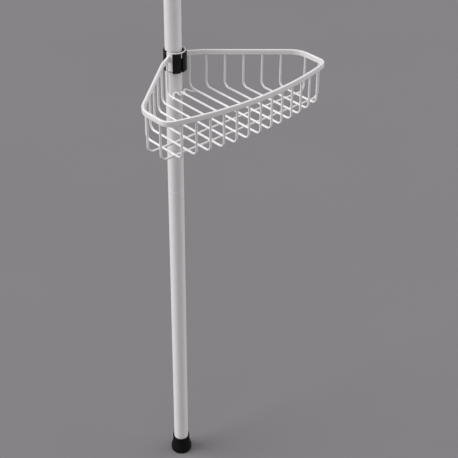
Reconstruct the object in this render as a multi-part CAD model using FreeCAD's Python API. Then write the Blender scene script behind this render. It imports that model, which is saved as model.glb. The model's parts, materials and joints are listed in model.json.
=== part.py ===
import FreeCAD, Part
import math
import os

# Tension pole shelf unit. A sprung steel pole stands between floor and ceiling and
# carries wire baskets, each on a plastic clip that slides and turns on the pole.
# Millimetres. +Z is up. The origin is the centre of the foot's underside, on the pole's
# axis. The baskets open towards -Y, and each is symmetric about the plane X = 0.

V = FreeCAD.Vector
UP = V(0, 0, 1)

# ---- Driving dimensions -------------------------------------------------------------

# fits
RUNNING_FIT = 0.05        # radial clearance of a part that slides or turns on another
SEAT_FIT = 0.1            # clearance of parts that are pushed together once
TRAVEL_GAP = 0.3          # gap to a stop

# pole
TUBE_OD = 25.0
TUBE_WALL = 1.0
SECTION_LENGTH = 557.0    # from one seam to the next
SECTIONS = 4
TUBE_END_CHAMFER = 0.4

# plugs that join the sections
PLUG_DEPTH = 60.0         # into each section
PLUG_WALL = 1.6
PLUG_LEAD_IN = 1.0
SEAM_RIB = 0.8            # thickness of the rib between two tube ends
SEAM_RIB_INSET = 0.15     # how far the rib lies under the tubes' surface

# foot
FOOT_HEIGHT = 32.2
FOOT_BASE = 5.0           # rubber under the tube
FOOT_COLLAR_WALL = 2.4
FOOT_FLARE = 3.4          # how far the base stands out past the collar
FOOT_SOLE_INSET = 2.0     # how far the flat sole's edge lies inside the base
FOOT_SOLE_EDGE = 1.4      # height at which the base reaches its full radius
FOOT_SHOULDER = 8.2       # height at which the base starts to narrow
FOOT_COLLAR_START = 21.4  # height at which the collar starts
FOOT_SHOULDER_R = 3.7     # of the soft bends above and below the taper
FOOT_SOFT_EDGE = 0.8

# shelves
SHELVES = 3
FIRST_RIM_TOP = 793.7
SHELF_PITCH = 450.0

# basket
BASKET_HALF_WIDTH = 146.2
SIDE_ANGLE = 40.3         # of each side rail to the X axis, in degrees
END_LENGTH = 52.3         # of the short end, between the corners
BOW_RADIUS = 483.0        # of the bowed front
REAR_CORNER_R = 32.0
FRONT_CORNER_R = 14.5
RAIL_BEND_X = 37.5        # where each rail turns towards the saddle
RAIL_BEND_OUT = 21.4
RAIL_END_ANGLE = 31.3     # of the rail's last stretch to the X axis
RAIL_BEND_R = 15.0
RIM_HEIGHT = 8.1
RIM_THICKNESS = 3.7
RIM_EDGE_R = 1.2
BASKET_DEPTH = 58.9       # rim's top to the centre of the cross wires
WIRE_D = 3.3
WIRE_BAYS = 7             # bays between the middle wire and each end
FRONT_BEND_R = 8.0
BACK_BEND_R = 9.0
LONG_BEND_R = 10.0
LONG_WIRE_INSET = 12.0    # of each long wire from the corner beside it
MIDDLE_WIRE_GAP = 2.0     # from the clip's bore line to the middle wire's end

# prongs that straddle the pole and lean on it under load
PRONG_OVERRUN = 1.6       # of each end past the cross wire that it is welded to
PRONG_SET_FORWARD = 5.2   # of each end past the place where that wire turns up
PRONG_CLEARANCE = 2.2     # from each bend of a prong to the pole
PRONG_HALF_GAP = 5.5      # X of each prong's inner leg
PRONG_WIDTH = 5.1         # from the inner to the outer leg
PRONG_RISE = 3.0
PRONG_ROOT_GAP = 7.7      # from the tube's front to the run between the prongs
PRONG_BEND_R = 2.4
PRONG_ROOT_R = 3.0
PRONG_TUCK = 1.0          # how far the inner legs lean towards each other

# saddle
SADDLE_ABOVE_RIM = 4.9
SADDLE_HEIGHT = 29.3
SADDLE_OFFSET = 3.0       # of its centre in front of the pole's axis
SADDLE_WALL = 1.3
SADDLE_HALF_ANGLE = 85.0
WINDOW_HALF_ANGLE = 43.0
WINDOW_MARGIN = 1.6       # height of the strip above the window, which is open below
TONGUE_WIDTH = 1.3
TONGUE_LENGTH = 7.5

# clip and its liner
LINER_WALL = 0.95
LINER_FLANGE = 0.8        # thickness of the lips above and below the clip
LINER_LIP = 1.0           # how far a lip stands out
LINER_FRONT_INSET = 1.0   # of the front half's ends from the clip's ends
LINER_SLIT = 1.2
CLIP_BELOW_SADDLE_FOOT = 1.6
CLIP_BACK_WALL = 1.45
CLIP_FRONT_WALL = 4.25    # between the liner and the saddle
CLIP_SLIT = 2.6
CLIP_CHAMFER = 0.5
PAD_PROUD = 1.0           # how far the pads stand out of the saddle
PAD_DROP = 1.0            # how far they reach below the clip's ring
PAD_EDGE_R = 0.6

# telescoping tube and its lock
EXTENSION_WALL = 1.0
EXTENSION_LENGTH = 470.0
EXTENSION_SHOWS = 142.0   # of it above the top section
GLIDE_COLLAR = 12.0
GLIDE_SPIGOT = 25.0
GLIDE_BORE_R = 4.0
COLLET_WALL = 1.35        # between the two tubes
COLLET_INSERT = 40.0
COLLET_BODY = 18.0
COLLET_TAPER = 12.0
COLLET_TIP_WALL = 1.15
COLLET_SLOT = 1.2
COLLET_SLOT_DEPTH = 20.0
NUT_SKIRT = 11.0          # over the top section
NUT_ABOVE_COLLET = 7.0
NUT_FOOT_WALL = 4.2
NUT_NARROWING = 1.8       # of its radius from foot to top
NUT_FLUTES = 12
NUT_FLUTE_R = 2.2
NUT_FLUTE_SINK = 0.9
NUT_CHAMFER = 1.2

# sprung plunger
PLUNGER_WALL = 1.0
PLUNGER_SHOWS = 50.0      # of it above its bush
BUSH_WALL = 0.85          # between the extension and the plunger
BUSH_DEPTH = 30.0
BUSH_FLANGE = 3.0
PISTON_HEIGHT = 30.0
PISTON_FLOOR = 10.0
SPRING_LENGTH = 130.0
SPRING_WIRE = 1.6
SPRING_GAP = 1.3          # from the spring to the tube round it
SPRING_TURNS = 18
SEAT_HEIGHT = 10.0
SEAT_BORE_R = 3.0

# ceiling cap
CAP_R = 32.0
CAP_HEIGHT = 18.0
CAP_BOSS_WALL = 3.95
CAP_BOSS = 8.0            # height of the straight boss
CAP_SOCKET_DEPTH = 12.0
CAP_EDGE = 5.0
CAP_SOFT_EDGE = 1.0
CEILING_PAD = 4.0
PAD_RECESS = 1.5
PAD_LIP = 2.0
CEILING_PAD_EDGE = 1.0

# ---- Sizes worked out from them -----------------------------------------------------

TUBE_R = TUBE_OD / 2
TUBE_BORE_R = TUBE_R - TUBE_WALL
WIRE_R = WIRE_D / 2
TOP_OF_SECTIONS = FOOT_BASE + SECTIONS * SECTION_LENGTH
WIRE_PITCH = BASKET_HALF_WIDTH / WIRE_BAYS
FOOT_COLLAR_R = TUBE_R + SEAT_FIT + FOOT_COLLAR_WALL
FOOT_BASE_R = FOOT_COLLAR_R + FOOT_FLARE

LINER_R = TUBE_R + RUNNING_FIT + LINER_WALL
CLIP_BORE_R = LINER_R + RUNNING_FIT
CLIP_BACK_R = CLIP_BORE_R + CLIP_BACK_WALL
CLIP_FRONT_R = CLIP_BORE_R + CLIP_FRONT_WALL - SADDLE_OFFSET
SADDLE_R = CLIP_FRONT_R + SEAT_FIT + SADDLE_WALL
PAD_R = SADDLE_OFFSET + SADDLE_R + PAD_PROUD

EXTENSION_R = TUBE_BORE_R - SEAT_FIT - COLLET_WALL - RUNNING_FIT
EXTENSION_BORE_R = EXTENSION_R - EXTENSION_WALL
COLLET_TIP_R = EXTENSION_R + RUNNING_FIT + COLLET_TIP_WALL
NUT_FOOT_R = TUBE_R + TRAVEL_GAP + NUT_FOOT_WALL
NUT_TOP_R = NUT_FOOT_R - NUT_NARROWING
PLUNGER_R = EXTENSION_BORE_R - SEAT_FIT - BUSH_WALL - RUNNING_FIT
PLUNGER_SOCKET_R = PLUNGER_R + SEAT_FIT / 2
SPRING_R = EXTENSION_BORE_R - SPRING_GAP - SPRING_WIRE / 2

SIDE_SLOPE = math.tan(math.radians(SIDE_ANGLE))
REAR_CORNER_OUT = RAIL_BEND_OUT + (BASKET_HALF_WIDTH - RAIL_BEND_X) * SIDE_SLOPE
FRONT_CORNER_OUT = REAR_CORNER_OUT + END_LENGTH
BOW_CENTRE = FRONT_CORNER_OUT - math.sqrt(BOW_RADIUS ** 2 - BASKET_HALF_WIDTH ** 2)


# ---- Helpers ------------------------------------------------------------------------

def save(node, shape):
    """Write one node, and print its size."""
    shape.exportStep("parts/" + node + ".step")
    box = shape.BoundBox
    print("%-20s %2d solids  z %.1f to %.1f  valid %s"
          % (node, len(shape.Solids), box.ZMin, box.ZMax, shape.isValid()))


def at(x, out, z):
    """A point by its distance in front of the pole's axis."""
    return V(x, -out, z)


def polar(angle, radius, z=0.0, out=0.0):
    """A point at an angle, in degrees, from straight in front of (0, out)."""
    a = math.radians(angle)
    return at(radius * math.sin(a), out + radius * math.cos(a), z)


def rounded(points, radii, closed=False):
    """Edges through points, each corner turned by an arc of its own radius."""
    n = len(points)
    arcs = []
    for i, corner in enumerate(points):
        if radii[i] == 0:
            arcs.append((corner, None, corner))
            continue
        before = (points[i - 1] - corner).normalize()
        after = (points[(i + 1) % n] - corner).normalize()
        half = before.getAngle(after) / 2
        reach = radii[i] / math.tan(half)
        middle = (before + after).normalize() * (radii[i] / math.sin(half) - radii[i])
        arcs.append((corner + before * reach, corner + middle, corner + after * reach))
    edges = []
    for i in range(n):
        start, mid, end = arcs[i]
        if mid is not None:
            edges.append(Part.Arc(start, mid, end).toShape())
        if closed or i < n - 1:
            ahead = arcs[(i + 1) % n][0]
            if end.distanceToPoint(ahead) > 1e-6:
                edges.append(Part.LineSegment(end, ahead).toShape())
    return edges


def bent_wire(points, radii):
    """A round wire along points in space."""
    path = Part.Wire(rounded(points, radii))
    section = Part.Wire([Part.makeCircle(WIRE_R, points[0], points[1] - points[0])])
    return path.makePipeShell([section], True, False)


def turned(profile):
    """A turned piece from (radius, height, corner radius) stations."""
    points = [V(r, 0, z) for r, z, _ in profile]
    outline = Part.Wire(rounded(points, [c for _, _, c in profile], closed=True))
    return Part.Face(outline).revolve(V(0, 0, 0), UP, 360).Solids[0]


def ring(outer, inner, low, high, chamfer=0.0):
    """A tube about the pole's axis, with its outer edges chamfered."""
    outline = [(inner, low), (outer - chamfer, low)]
    if chamfer:
        outline += [(outer, low + chamfer), (outer, high - chamfer)]
    outline += [(outer - chamfer, high), (inner, high)]
    if not chamfer:
        outline = [(inner, low), (outer, low), (outer, high), (inner, high)]
    return turned([(r, z, 0) for r, z in outline])


def slot_box(width, reach, low, high):
    """A block of a width across X that runs from the axis towards -Y."""
    return Part.makeBox(width, reach, high - low, V(-width / 2, -reach, low))


def sector(half_angle, radius, low, high, out=0.0):
    """A prism, a slice of a disc that faces -Y."""
    edge = polar(-half_angle, radius, low, out)
    far = polar(half_angle, radius, low, out)
    nose = polar(0, radius, low, out)
    tip = at(0, out, low)
    outline = [Part.LineSegment(tip, edge).toShape(), Part.Arc(edge, nose, far).toShape(),
               Part.LineSegment(far, tip).toShape()]
    return Part.Face(Part.Wire(outline)).extrude(UP * (high - low))


# ---- Pole ---------------------------------------------------------------------------

def foot():
    """Rubber cup: a wide base that narrows to a collar round the tube."""
    bore_r = TUBE_R + SEAT_FIT
    return turned([(0, 0, 0), (FOOT_BASE_R - FOOT_SOLE_INSET, 0, FOOT_SOFT_EDGE),
                   (FOOT_BASE_R, FOOT_SOLE_EDGE, FOOT_SOLE_EDGE),
                   (FOOT_BASE_R, FOOT_SHOULDER, FOOT_SHOULDER_R),
                   (FOOT_COLLAR_R, FOOT_COLLAR_START, FOOT_SHOULDER_R),
                   (FOOT_COLLAR_R, FOOT_HEIGHT, FOOT_SOFT_EDGE), (bore_r, FOOT_HEIGHT, 0),
                   (bore_r, FOOT_BASE, 0), (0, FOOT_BASE, 0)])


def seam_height(index):
    """Height of the top of a section, counted from 1."""
    return FOOT_BASE + index * SECTION_LENGTH


def section_tube(index):
    low = seam_height(index - 1) + (SEAM_RIB / 2 if index > 1 else 0)
    high = seam_height(index) - (SEAM_RIB / 2 if index < SECTIONS else 0)
    return ring(TUBE_R, TUBE_BORE_R, low, high, TUBE_END_CHAMFER)


def joint_plug(index):
    """Plug inside a seam, with a thin rib between the two tube ends."""
    seam = seam_height(index)
    outer = TUBE_BORE_R - SEAT_FIT
    low = seam - PLUG_DEPTH
    high = seam + PLUG_DEPTH
    rib_r = TUBE_R - SEAM_RIB_INSET
    return turned([(outer - PLUG_WALL, low, 0), (outer - PLUG_LEAD_IN, low, 0),
                   (outer, low + PLUG_LEAD_IN, 0), (outer, seam - SEAM_RIB / 2, 0),
                   (rib_r, seam - SEAM_RIB / 2, 0), (rib_r, seam + SEAM_RIB / 2, 0),
                   (outer, seam + SEAM_RIB / 2, 0), (outer, high - PLUG_LEAD_IN, 0),
                   (outer - PLUG_LEAD_IN, high, 0), (outer - PLUG_WALL, high, 0)])


# ---- One shelf ----------------------------------------------------------------------

def liner(top):
    """Slit friction liner. Its rear half has a lip above and below the clip."""
    low, high = clip_span(top)
    lip_low = low - TRAVEL_GAP - LINER_FLANGE
    lip_high = high + TRAVEL_GAP + LINER_FLANGE
    bore = TUBE_R + RUNNING_FIT
    lip = LINER_R + LINER_LIP
    body = turned([(bore, lip_low, 0), (lip, lip_low, 0), (lip, lip_low + LINER_FLANGE, 0),
                   (LINER_R, lip_low + LINER_FLANGE, 0),
                   (LINER_R, lip_high - LINER_FLANGE, 0),
                   (lip, lip_high - LINER_FLANGE, 0), (lip, lip_high, 0),
                   (bore, lip_high, 0)])
    for end, far in ((low + LINER_FRONT_INSET, lip_low - 1), (high - LINER_FRONT_INSET, lip_high + 1)):
        body = body.cut(slot_box(lip * 4, lip * 2, min(end, far), max(end, far)))
    slit = slot_box(LINER_SLIT, lip * 2, lip_low - 1, lip_high + 1)
    slit.rotate(V(0, 0, 0), UP, 180)
    return body.cut(slit)


def saddle_span(top):
    """Lowest and highest Z of the saddle on a rim whose top is given."""
    high = top + SADDLE_ABOVE_RIM
    return high - SADDLE_HEIGHT, high


def clip_span(top):
    """Lowest and highest Z of the clip's ring, whose top bears on the window's top."""
    low, high = saddle_span(top)
    return low - CLIP_BELOW_SADDLE_FOOT, high - WINDOW_MARGIN - SEAT_FIT


def pads(top):
    """Two raised pads, one each side of the slit, that fill the saddle's window."""
    ring_low, high = clip_span(top)
    low = ring_low - PAD_DROP
    half_angle = WINDOW_HALF_ANGLE - math.degrees(SEAT_FIT / PAD_R)
    block = sector(half_angle, PAD_R, low, high)
    block = block.cut(slot_box(CLIP_SLIT, PAD_R * 2, low - 1, high + 1))
    faces = [e for e in block.Edges
             if all(math.hypot(v.X, v.Y) > PAD_R - 1e-3 for v in e.Vertexes)]
    block = block.makeFillet(PAD_EDGE_R, faces)
    round_lip = LINER_R + LINER_LIP + TRAVEL_GAP
    block = block.cut(Part.makeCylinder(round_lip, PAD_DROP + 1, V(0, 0, low - 1)))
    return block.cut(Part.makeCylinder(CLIP_BORE_R, high - low + 2, V(0, 0, low - 1)))


def clip(top):
    """Open plastic ring round the liner, with its two pads."""
    low, high = clip_span(top)
    back = ring(CLIP_BACK_R, CLIP_BORE_R, low, high, CLIP_CHAMFER)
    front = turned([(0, low, 0), (CLIP_FRONT_R - CLIP_CHAMFER, low, 0),
                    (CLIP_FRONT_R, low + CLIP_CHAMFER, 0),
                    (CLIP_FRONT_R, high - CLIP_CHAMFER, 0),
                    (CLIP_FRONT_R - CLIP_CHAMFER, high, 0), (0, high, 0)])
    front.translate(at(0, SADDLE_OFFSET, 0))
    body = back.fuse(front).fuse(pads(top))
    body = body.cut(Part.makeCylinder(CLIP_BORE_R, high - low + 2, V(0, 0, low - 1)))
    return body.cut(slot_box(CLIP_SLIT, PAD_R * 2, low - 1, high + 1)).removeSplitter()


def saddle(top):
    """Half-round steel band. Its window is open below, with a tongue for the clip's slit."""
    low, high = saddle_span(top)
    inner = SADDLE_R - SADDLE_WALL
    band = sector(SADDLE_HALF_ANGLE, SADDLE_R, low, high, SADDLE_OFFSET)
    band = band.cut(Part.makeCylinder(inner, SADDLE_HEIGHT + 2,
                                      at(0, SADDLE_OFFSET, low - 1)))
    window_high = high - WINDOW_MARGIN
    window = sector(WINDOW_HALF_ANGLE, PAD_R * 2, low - 1, window_high)
    tongue_low = window_high - TONGUE_LENGTH
    window = window.cut(slot_box(TONGUE_WIDTH, PAD_R * 2, tongue_low, high))
    return band.cut(window)


def rail_end():
    """Where a rail's last stretch runs into the middle of the saddle's wall."""
    a = math.radians(RAIL_END_ANGLE)
    dx, dout = math.cos(a), math.sin(a)
    radius = SADDLE_R - SADDLE_WALL / 2
    px, pout = RAIL_BEND_X, RAIL_BEND_OUT - SADDLE_OFFSET
    along = px * dx + pout * dout
    miss = px * dout - pout * dx
    run = along - math.sqrt(radius ** 2 - miss ** 2)
    return RAIL_BEND_X - run * dx, RAIL_BEND_OUT - run * dout


def rail_out(x):
    """How far out a side rail's centre line is at an X."""
    end_x, end_out = rail_end()
    if abs(x) > RAIL_BEND_X:
        return RAIL_BEND_OUT + (abs(x) - RAIL_BEND_X) * SIDE_SLOPE
    share = (abs(x) - end_x) / (RAIL_BEND_X - end_x)
    return end_out + share * (RAIL_BEND_OUT - end_out)


def front_out(x):
    """How far out the bowed front's centre line is at an X."""
    return BOW_CENTRE + math.sqrt(BOW_RADIUS ** 2 - x ** 2)


def short_end_x(out):
    """X of the short end's centre line, which curves in towards the rear corner."""
    straight_from = REAR_CORNER_OUT + REAR_CORNER_R * math.tan(math.radians(90 - SIDE_ANGLE) / 2)
    into_curve = max(0.0, straight_from - out)
    return BASKET_HALF_WIDTH - REAR_CORNER_R + math.sqrt(REAR_CORNER_R ** 2 - into_curve ** 2)


def rim_half(side, z):
    """The rim's centre line from the saddle to the bowed front, on one side."""
    end_x, end_out = rail_end()
    corner_x = BASKET_HALF_WIDTH - FRONT_CORNER_R
    inner = BOW_RADIUS - FRONT_CORNER_R
    corner_out = BOW_CENTRE + math.sqrt(inner ** 2 - corner_x ** 2)
    points = [at(side * end_x, end_out, z), at(side * RAIL_BEND_X, RAIL_BEND_OUT, z),
              at(side * BASKET_HALF_WIDTH, REAR_CORNER_OUT, z),
              at(side * BASKET_HALF_WIDTH, corner_out, z)]
    edges = rounded(points, [0, RAIL_BEND_R, REAR_CORNER_R, 0])
    turn = math.degrees(math.atan2(corner_x, corner_out - BOW_CENTRE))
    middle = polar(side * (90 + turn) / 2, FRONT_CORNER_R)
    bow_end = polar(side * turn, FRONT_CORNER_R)
    centre = at(side * corner_x, corner_out, z)
    edges.append(Part.Arc(points[-1], centre + middle, centre + bow_end).toShape())
    return edges, centre + bow_end


def rim(top):
    """Flat bar on edge, bent to the basket's outline and met by the saddle."""
    z = top - RIM_HEIGHT / 2
    left, left_end = rim_half(-1, z)
    right, right_end = rim_half(1, z)
    bow = Part.Arc(left_end, at(0, front_out(0), z), right_end).toShape()
    path = Part.Wire(Part.__sortEdges__(left + [bow] + right))
    half_t = RIM_THICKNESS / 2
    half_h = RIM_HEIGHT / 2
    end_x, end_out = rail_end()
    run = (at(RAIL_BEND_X, RAIL_BEND_OUT, z) - at(end_x, end_out, z)).normalize()
    across = run.cross(UP)
    start = at(end_x, end_out, z)
    corners = [start + across * (half_t * i) + UP * (half_h * j)
               for i, j in ((-1, -1), (1, -1), (1, 1), (-1, 1))]
    edge_r = min(RIM_EDGE_R, half_t * 0.9, half_h * 0.9)
    section = Part.Wire(rounded(corners, [edge_r] * 4, closed=True))
    bar = path.makePipeShell([section], True, False)
    return bar.cut(Part.makeCylinder(SADDLE_R, RIM_HEIGHT + 2,
                                     at(0, SADDLE_OFFSET, top - RIM_HEIGHT - 1)))


def cross_wires(top):
    """Wires that run front to back; the middle one ends free beside the pole."""
    rim_low = top - RIM_HEIGHT
    floor = top - BASKET_DEPTH
    wires = []
    for k in range(1 - WIRE_BAYS, WIRE_BAYS):
        x = k * WIRE_PITCH
        front = front_out(x)
        if k == 0:
            back = CLIP_BORE_R + MIDDLE_WIRE_GAP
            wires.append(bent_wire([at(x, front, rim_low), at(x, front, floor),
                                    at(x, back, floor)], [0, FRONT_BEND_R, 0]))
        else:
            back = rail_out(x)
            wires.append(bent_wire([at(x, front, rim_low), at(x, front, floor),
                                    at(x, back, floor), at(x, back, rim_low)],
                                   [0, FRONT_BEND_R, BACK_BEND_R, 0]))
    return Part.makeCompound(wires)


def long_wires(top):
    """Two wires under the cross wires, turned up to the rim at both ends."""
    rim_low = top - RIM_HEIGHT
    floor = top - BASKET_DEPTH - WIRE_D
    wires = []
    for out in (REAR_CORNER_OUT + LONG_WIRE_INSET, FRONT_CORNER_OUT - LONG_WIRE_INSET):
        x = short_end_x(out)
        wires.append(bent_wire([at(-x, out, rim_low), at(-x, out, floor),
                                at(x, out, floor), at(x, out, rim_low)],
                               [0, LONG_BEND_R, LONG_BEND_R, 0]))
    return Part.makeCompound(wires)


def pole_prongs(top):
    """Bent wire under the floor whose two prongs straddle the pole."""
    low = top - BASKET_DEPTH - WIRE_D
    high = low + PRONG_RISE
    reach = TUBE_R + PRONG_CLEARANCE + WIRE_R
    outer = PRONG_HALF_GAP + PRONG_WIDTH
    tip_inner = math.sqrt(reach ** 2 - PRONG_HALF_GAP ** 2)
    tip_outer = math.sqrt(reach ** 2 - outer ** 2)
    end_x = WIRE_PITCH + PRONG_OVERRUN
    end_out = rail_out(WIRE_PITCH) + BACK_BEND_R + PRONG_SET_FORWARD
    rise_x = WIRE_PITCH - WIRE_D
    share = (end_x - rise_x) / (end_x - outer)
    rise_out = end_out + share * (tip_outer - end_out)
    half = [(end_x, end_out, low, 0), (rise_x, rise_out, low, PRONG_ROOT_R),
            (outer, tip_outer, high, PRONG_BEND_R),
            (PRONG_HALF_GAP, tip_inner, high, PRONG_BEND_R),
            (PRONG_HALF_GAP - PRONG_TUCK, TUBE_R + PRONG_ROOT_GAP, low, PRONG_ROOT_R)]
    points = [at(-x, out, z) for x, out, z, _ in half]
    points += [at(x, out, z) for x, out, z, _ in reversed(half)]
    radii = [r for _, _, _, r in half]
    return bent_wire(points, radii + radii[::-1])


# ---- Telescoping tube and its lock --------------------------------------------------

def extension_span():
    """Lowest and highest Z of the telescoping tube."""
    high = TOP_OF_SECTIONS + EXTENSION_SHOWS
    return high - EXTENSION_LENGTH, high


def extension_tube():
    low, high = extension_span()
    return ring(EXTENSION_R, EXTENSION_BORE_R, low, high, TUBE_END_CHAMFER)


def extension_glide():
    """Plug on the tube's lower end that guides it and can't pass the collet."""
    low = extension_span()[0]
    collar = TUBE_BORE_R - RUNNING_FIT
    spigot = EXTENSION_BORE_R - SEAT_FIT
    return turned([(GLIDE_BORE_R, low - GLIDE_COLLAR, 0), (collar, low - GLIDE_COLLAR, 0),
                   (collar, low, 0), (spigot, low, 0), (spigot, low + GLIDE_SPIGOT, 0),
                   (GLIDE_BORE_R, low + GLIDE_SPIGOT, 0)])


def collet():
    """Bush in the top section, with a slotted taper that the nut closes."""
    base = TOP_OF_SECTIONS
    bore = EXTENSION_R + RUNNING_FIT
    insert = TUBE_BORE_R - SEAT_FIT
    body_top = base + COLLET_BODY
    tip = body_top + COLLET_TAPER
    shape = turned([(bore, base - COLLET_INSERT, 0), (insert, base - COLLET_INSERT, 0),
                    (insert, base, 0), (TUBE_R, base, 0), (TUBE_R, body_top, 0),
                    (COLLET_TIP_R, tip, 0), (bore, tip, 0)])
    for angle in (0, 90):
        slot = Part.makeBox(COLLET_SLOT, TUBE_OD * 2, COLLET_SLOT_DEPTH + 1,
                            V(-COLLET_SLOT / 2, -TUBE_OD, tip - COLLET_SLOT_DEPTH))
        slot.rotate(V(0, 0, 0), UP, angle)
        shape = shape.cut(slot)
    return shape


def lock_nut():
    """Fluted twist nut over the collet."""
    base = TOP_OF_SECTIONS
    body_top = base + COLLET_BODY
    tip = body_top + COLLET_TAPER
    low = base - NUT_SKIRT
    high = tip + NUT_ABOVE_COLLET
    skirt = TUBE_R + TRAVEL_GAP
    thread = TUBE_R + RUNNING_FIT
    cone = COLLET_TIP_R + TRAVEL_GAP
    mouth = EXTENSION_R + TRAVEL_GAP
    shape = turned([(skirt, low, 0), (NUT_FOOT_R, low, NUT_CHAMFER),
                    (NUT_TOP_R, high, NUT_CHAMFER), (mouth, high, 0),
                    (mouth, tip + TRAVEL_GAP, 0), (cone, tip + TRAVEL_GAP, 0),
                    (thread, body_top + TRAVEL_GAP, 0), (thread, base - TRAVEL_GAP, 0),
                    (skirt, base - TRAVEL_GAP, 0)])
    lean = math.atan2(NUT_FOOT_R - NUT_TOP_R, high - low)
    for i in range(NUT_FLUTES):
        flute = Part.makeCylinder(NUT_FLUTE_R, (high - low) * 2,
                                  V(0, 0, -(high - low) / 2))
        flute.rotate(V(0, 0, 0), V(0, 1, 0), -math.degrees(lean))
        flute.translate(V(NUT_FOOT_R + NUT_FLUTE_R - NUT_FLUTE_SINK, 0, low))
        flute.rotate(V(0, 0, 0), UP, i * 360 / NUT_FLUTES)
        shape = shape.cut(flute)
    return shape


# ---- Sprung plunger and ceiling cap -------------------------------------------------

def piston_top():
    return extension_span()[1] - BUSH_DEPTH - TRAVEL_GAP


def plunger_span():
    """Lowest and highest Z of the plunger tube."""
    low = piston_top() - PISTON_HEIGHT + PISTON_FLOOR
    high = extension_span()[1] + BUSH_FLANGE + PLUNGER_SHOWS + CAP_SOCKET_DEPTH
    return low, high


def spring_foot():
    return piston_top() - PISTON_HEIGHT - SPRING_LENGTH


def plunger_bush():
    high = extension_span()[1]
    bore = PLUNGER_R + RUNNING_FIT
    insert = EXTENSION_BORE_R - SEAT_FIT
    return turned([(bore, high - BUSH_DEPTH, 0), (insert, high - BUSH_DEPTH, 0),
                   (insert, high, 0), (EXTENSION_R, high, 0),
                   (EXTENSION_R, high + BUSH_FLANGE, CAP_SOFT_EDGE),
                   (bore, high + BUSH_FLANGE, 0)])


def plunger_tube():
    low, high = plunger_span()
    return ring(PLUNGER_R, PLUNGER_R - PLUNGER_WALL, low, high, TUBE_END_CHAMFER)


def plunger_piston():
    """Cup on the plunger's lower end, stopped by the bush above it."""
    high = piston_top()
    low = high - PISTON_HEIGHT
    outer = EXTENSION_BORE_R - SEAT_FIT
    return turned([(0, low, 0), (outer, low, 0), (outer, high, 0), (PLUNGER_SOCKET_R, high, 0),
                   (PLUNGER_SOCKET_R, low + PISTON_FLOOR, 0), (0, low + PISTON_FLOOR, 0)])


def spring_seat():
    high = spring_foot()
    outer = EXTENSION_BORE_R - SEAT_FIT
    return ring(outer, SEAT_BORE_R, high - SEAT_HEIGHT, high)


def top_spring():
    """Compression spring between the seat and the piston."""
    wire_r = SPRING_WIRE / 2
    height = SPRING_LENGTH - SPRING_WIRE - 2 * SEAT_FIT
    path = Part.makeHelix(height / SPRING_TURNS, height, SPRING_R)
    path.translate(V(0, 0, spring_foot() + wire_r + SEAT_FIT))
    start = path.Edges[0].valueAt(path.Edges[0].FirstParameter)
    along = path.Edges[0].tangentAt(path.Edges[0].FirstParameter)
    section = Part.Wire([Part.makeCircle(wire_r, start, along)])
    return Part.Wire(path.Edges).makePipeShell([section], True, True)


def ceiling_cap():
    """Dish on the plunger, with a recess for the pad."""
    foot_z = plunger_span()[1] - CAP_SOCKET_DEPTH
    high = foot_z + CAP_HEIGHT
    boss_r = PLUNGER_SOCKET_R + CAP_BOSS_WALL
    seat_r = CAP_R - PAD_LIP
    return turned([(PLUNGER_SOCKET_R, foot_z, 0), (boss_r, foot_z, CAP_SOFT_EDGE),
                   (boss_r, foot_z + CAP_BOSS, CAP_EDGE),
                   (CAP_R, high - CAP_EDGE, CAP_SOFT_EDGE), (CAP_R, high, CAP_SOFT_EDGE),
                   (seat_r, high, 0), (seat_r, high - PAD_RECESS, 0),
                   (0, high - PAD_RECESS, 0), (0, foot_z + CAP_SOCKET_DEPTH, 0),
                   (PLUNGER_SOCKET_R, foot_z + CAP_SOCKET_DEPTH, 0)])


def ceiling_pad():
    """Rubber disc in the cap's recess."""
    low = plunger_span()[1] - CAP_SOCKET_DEPTH + CAP_HEIGHT - PAD_RECESS
    edge = CAP_R - PAD_LIP - SEAT_FIT
    return turned([(0, low, 0), (edge, low, 0),
                   (edge, low + CEILING_PAD + PAD_RECESS, CEILING_PAD_EDGE),
                   (0, low + CEILING_PAD + PAD_RECESS, 0)])


# ---- Build --------------------------------------------------------------------------

os.makedirs("parts", exist_ok=True)

save("foot", foot())
for index in range(1, SECTIONS + 1):
    save("tube_%d" % index, section_tube(index))
for index in range(1, SECTIONS):
    save("joint_plug_%d" % index, joint_plug(index))

for index in range(SHELVES):
    rim_top = FIRST_RIM_TOP + index * SHELF_PITCH
    mark = "_%d" % (index + 1)
    save("clip_liner" + mark, liner(rim_top))
    save("pole_clip" + mark, clip(rim_top))
    save("saddle" + mark, saddle(rim_top))
    save("rim" + mark, rim(rim_top))
    save("cross_wires" + mark, cross_wires(rim_top))
    save("long_wires" + mark, long_wires(rim_top))
    save("pole_prongs" + mark, pole_prongs(rim_top))

save("extension_tube", extension_tube())
save("extension_glide", extension_glide())
save("collet", collet())
save("lock_nut", lock_nut())
save("spring_seat", spring_seat())
save("top_spring", top_spring())
save("plunger_bush", plunger_bush())
save("plunger_tube", plunger_tube())
save("plunger_piston", plunger_piston())
save("ceiling_cap", ceiling_cap())
save("ceiling_pad", ceiling_pad())
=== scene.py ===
# %% [markdown]
# # A floor-to-ceiling pole with wire baskets
#
# The object is a sprung steel pole that stands between floor and ceiling. It carries wire
# corner baskets, each held by a black plastic clip inside a half-round steel saddle. Steel
# parts wear a white powder coat, so most of this lesson is about bent wire, bent bar, and
# how a baked paint film, moulded plastic and rubber catch soft light.
#
# The construction model is loaded first. It gives the main sizes, and each detailed piece
# below takes the place of one of its plain parts.

# %% Load the construction model
import json
import math

import bmesh
import bpy
from mathutils import Matrix, Vector


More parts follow.
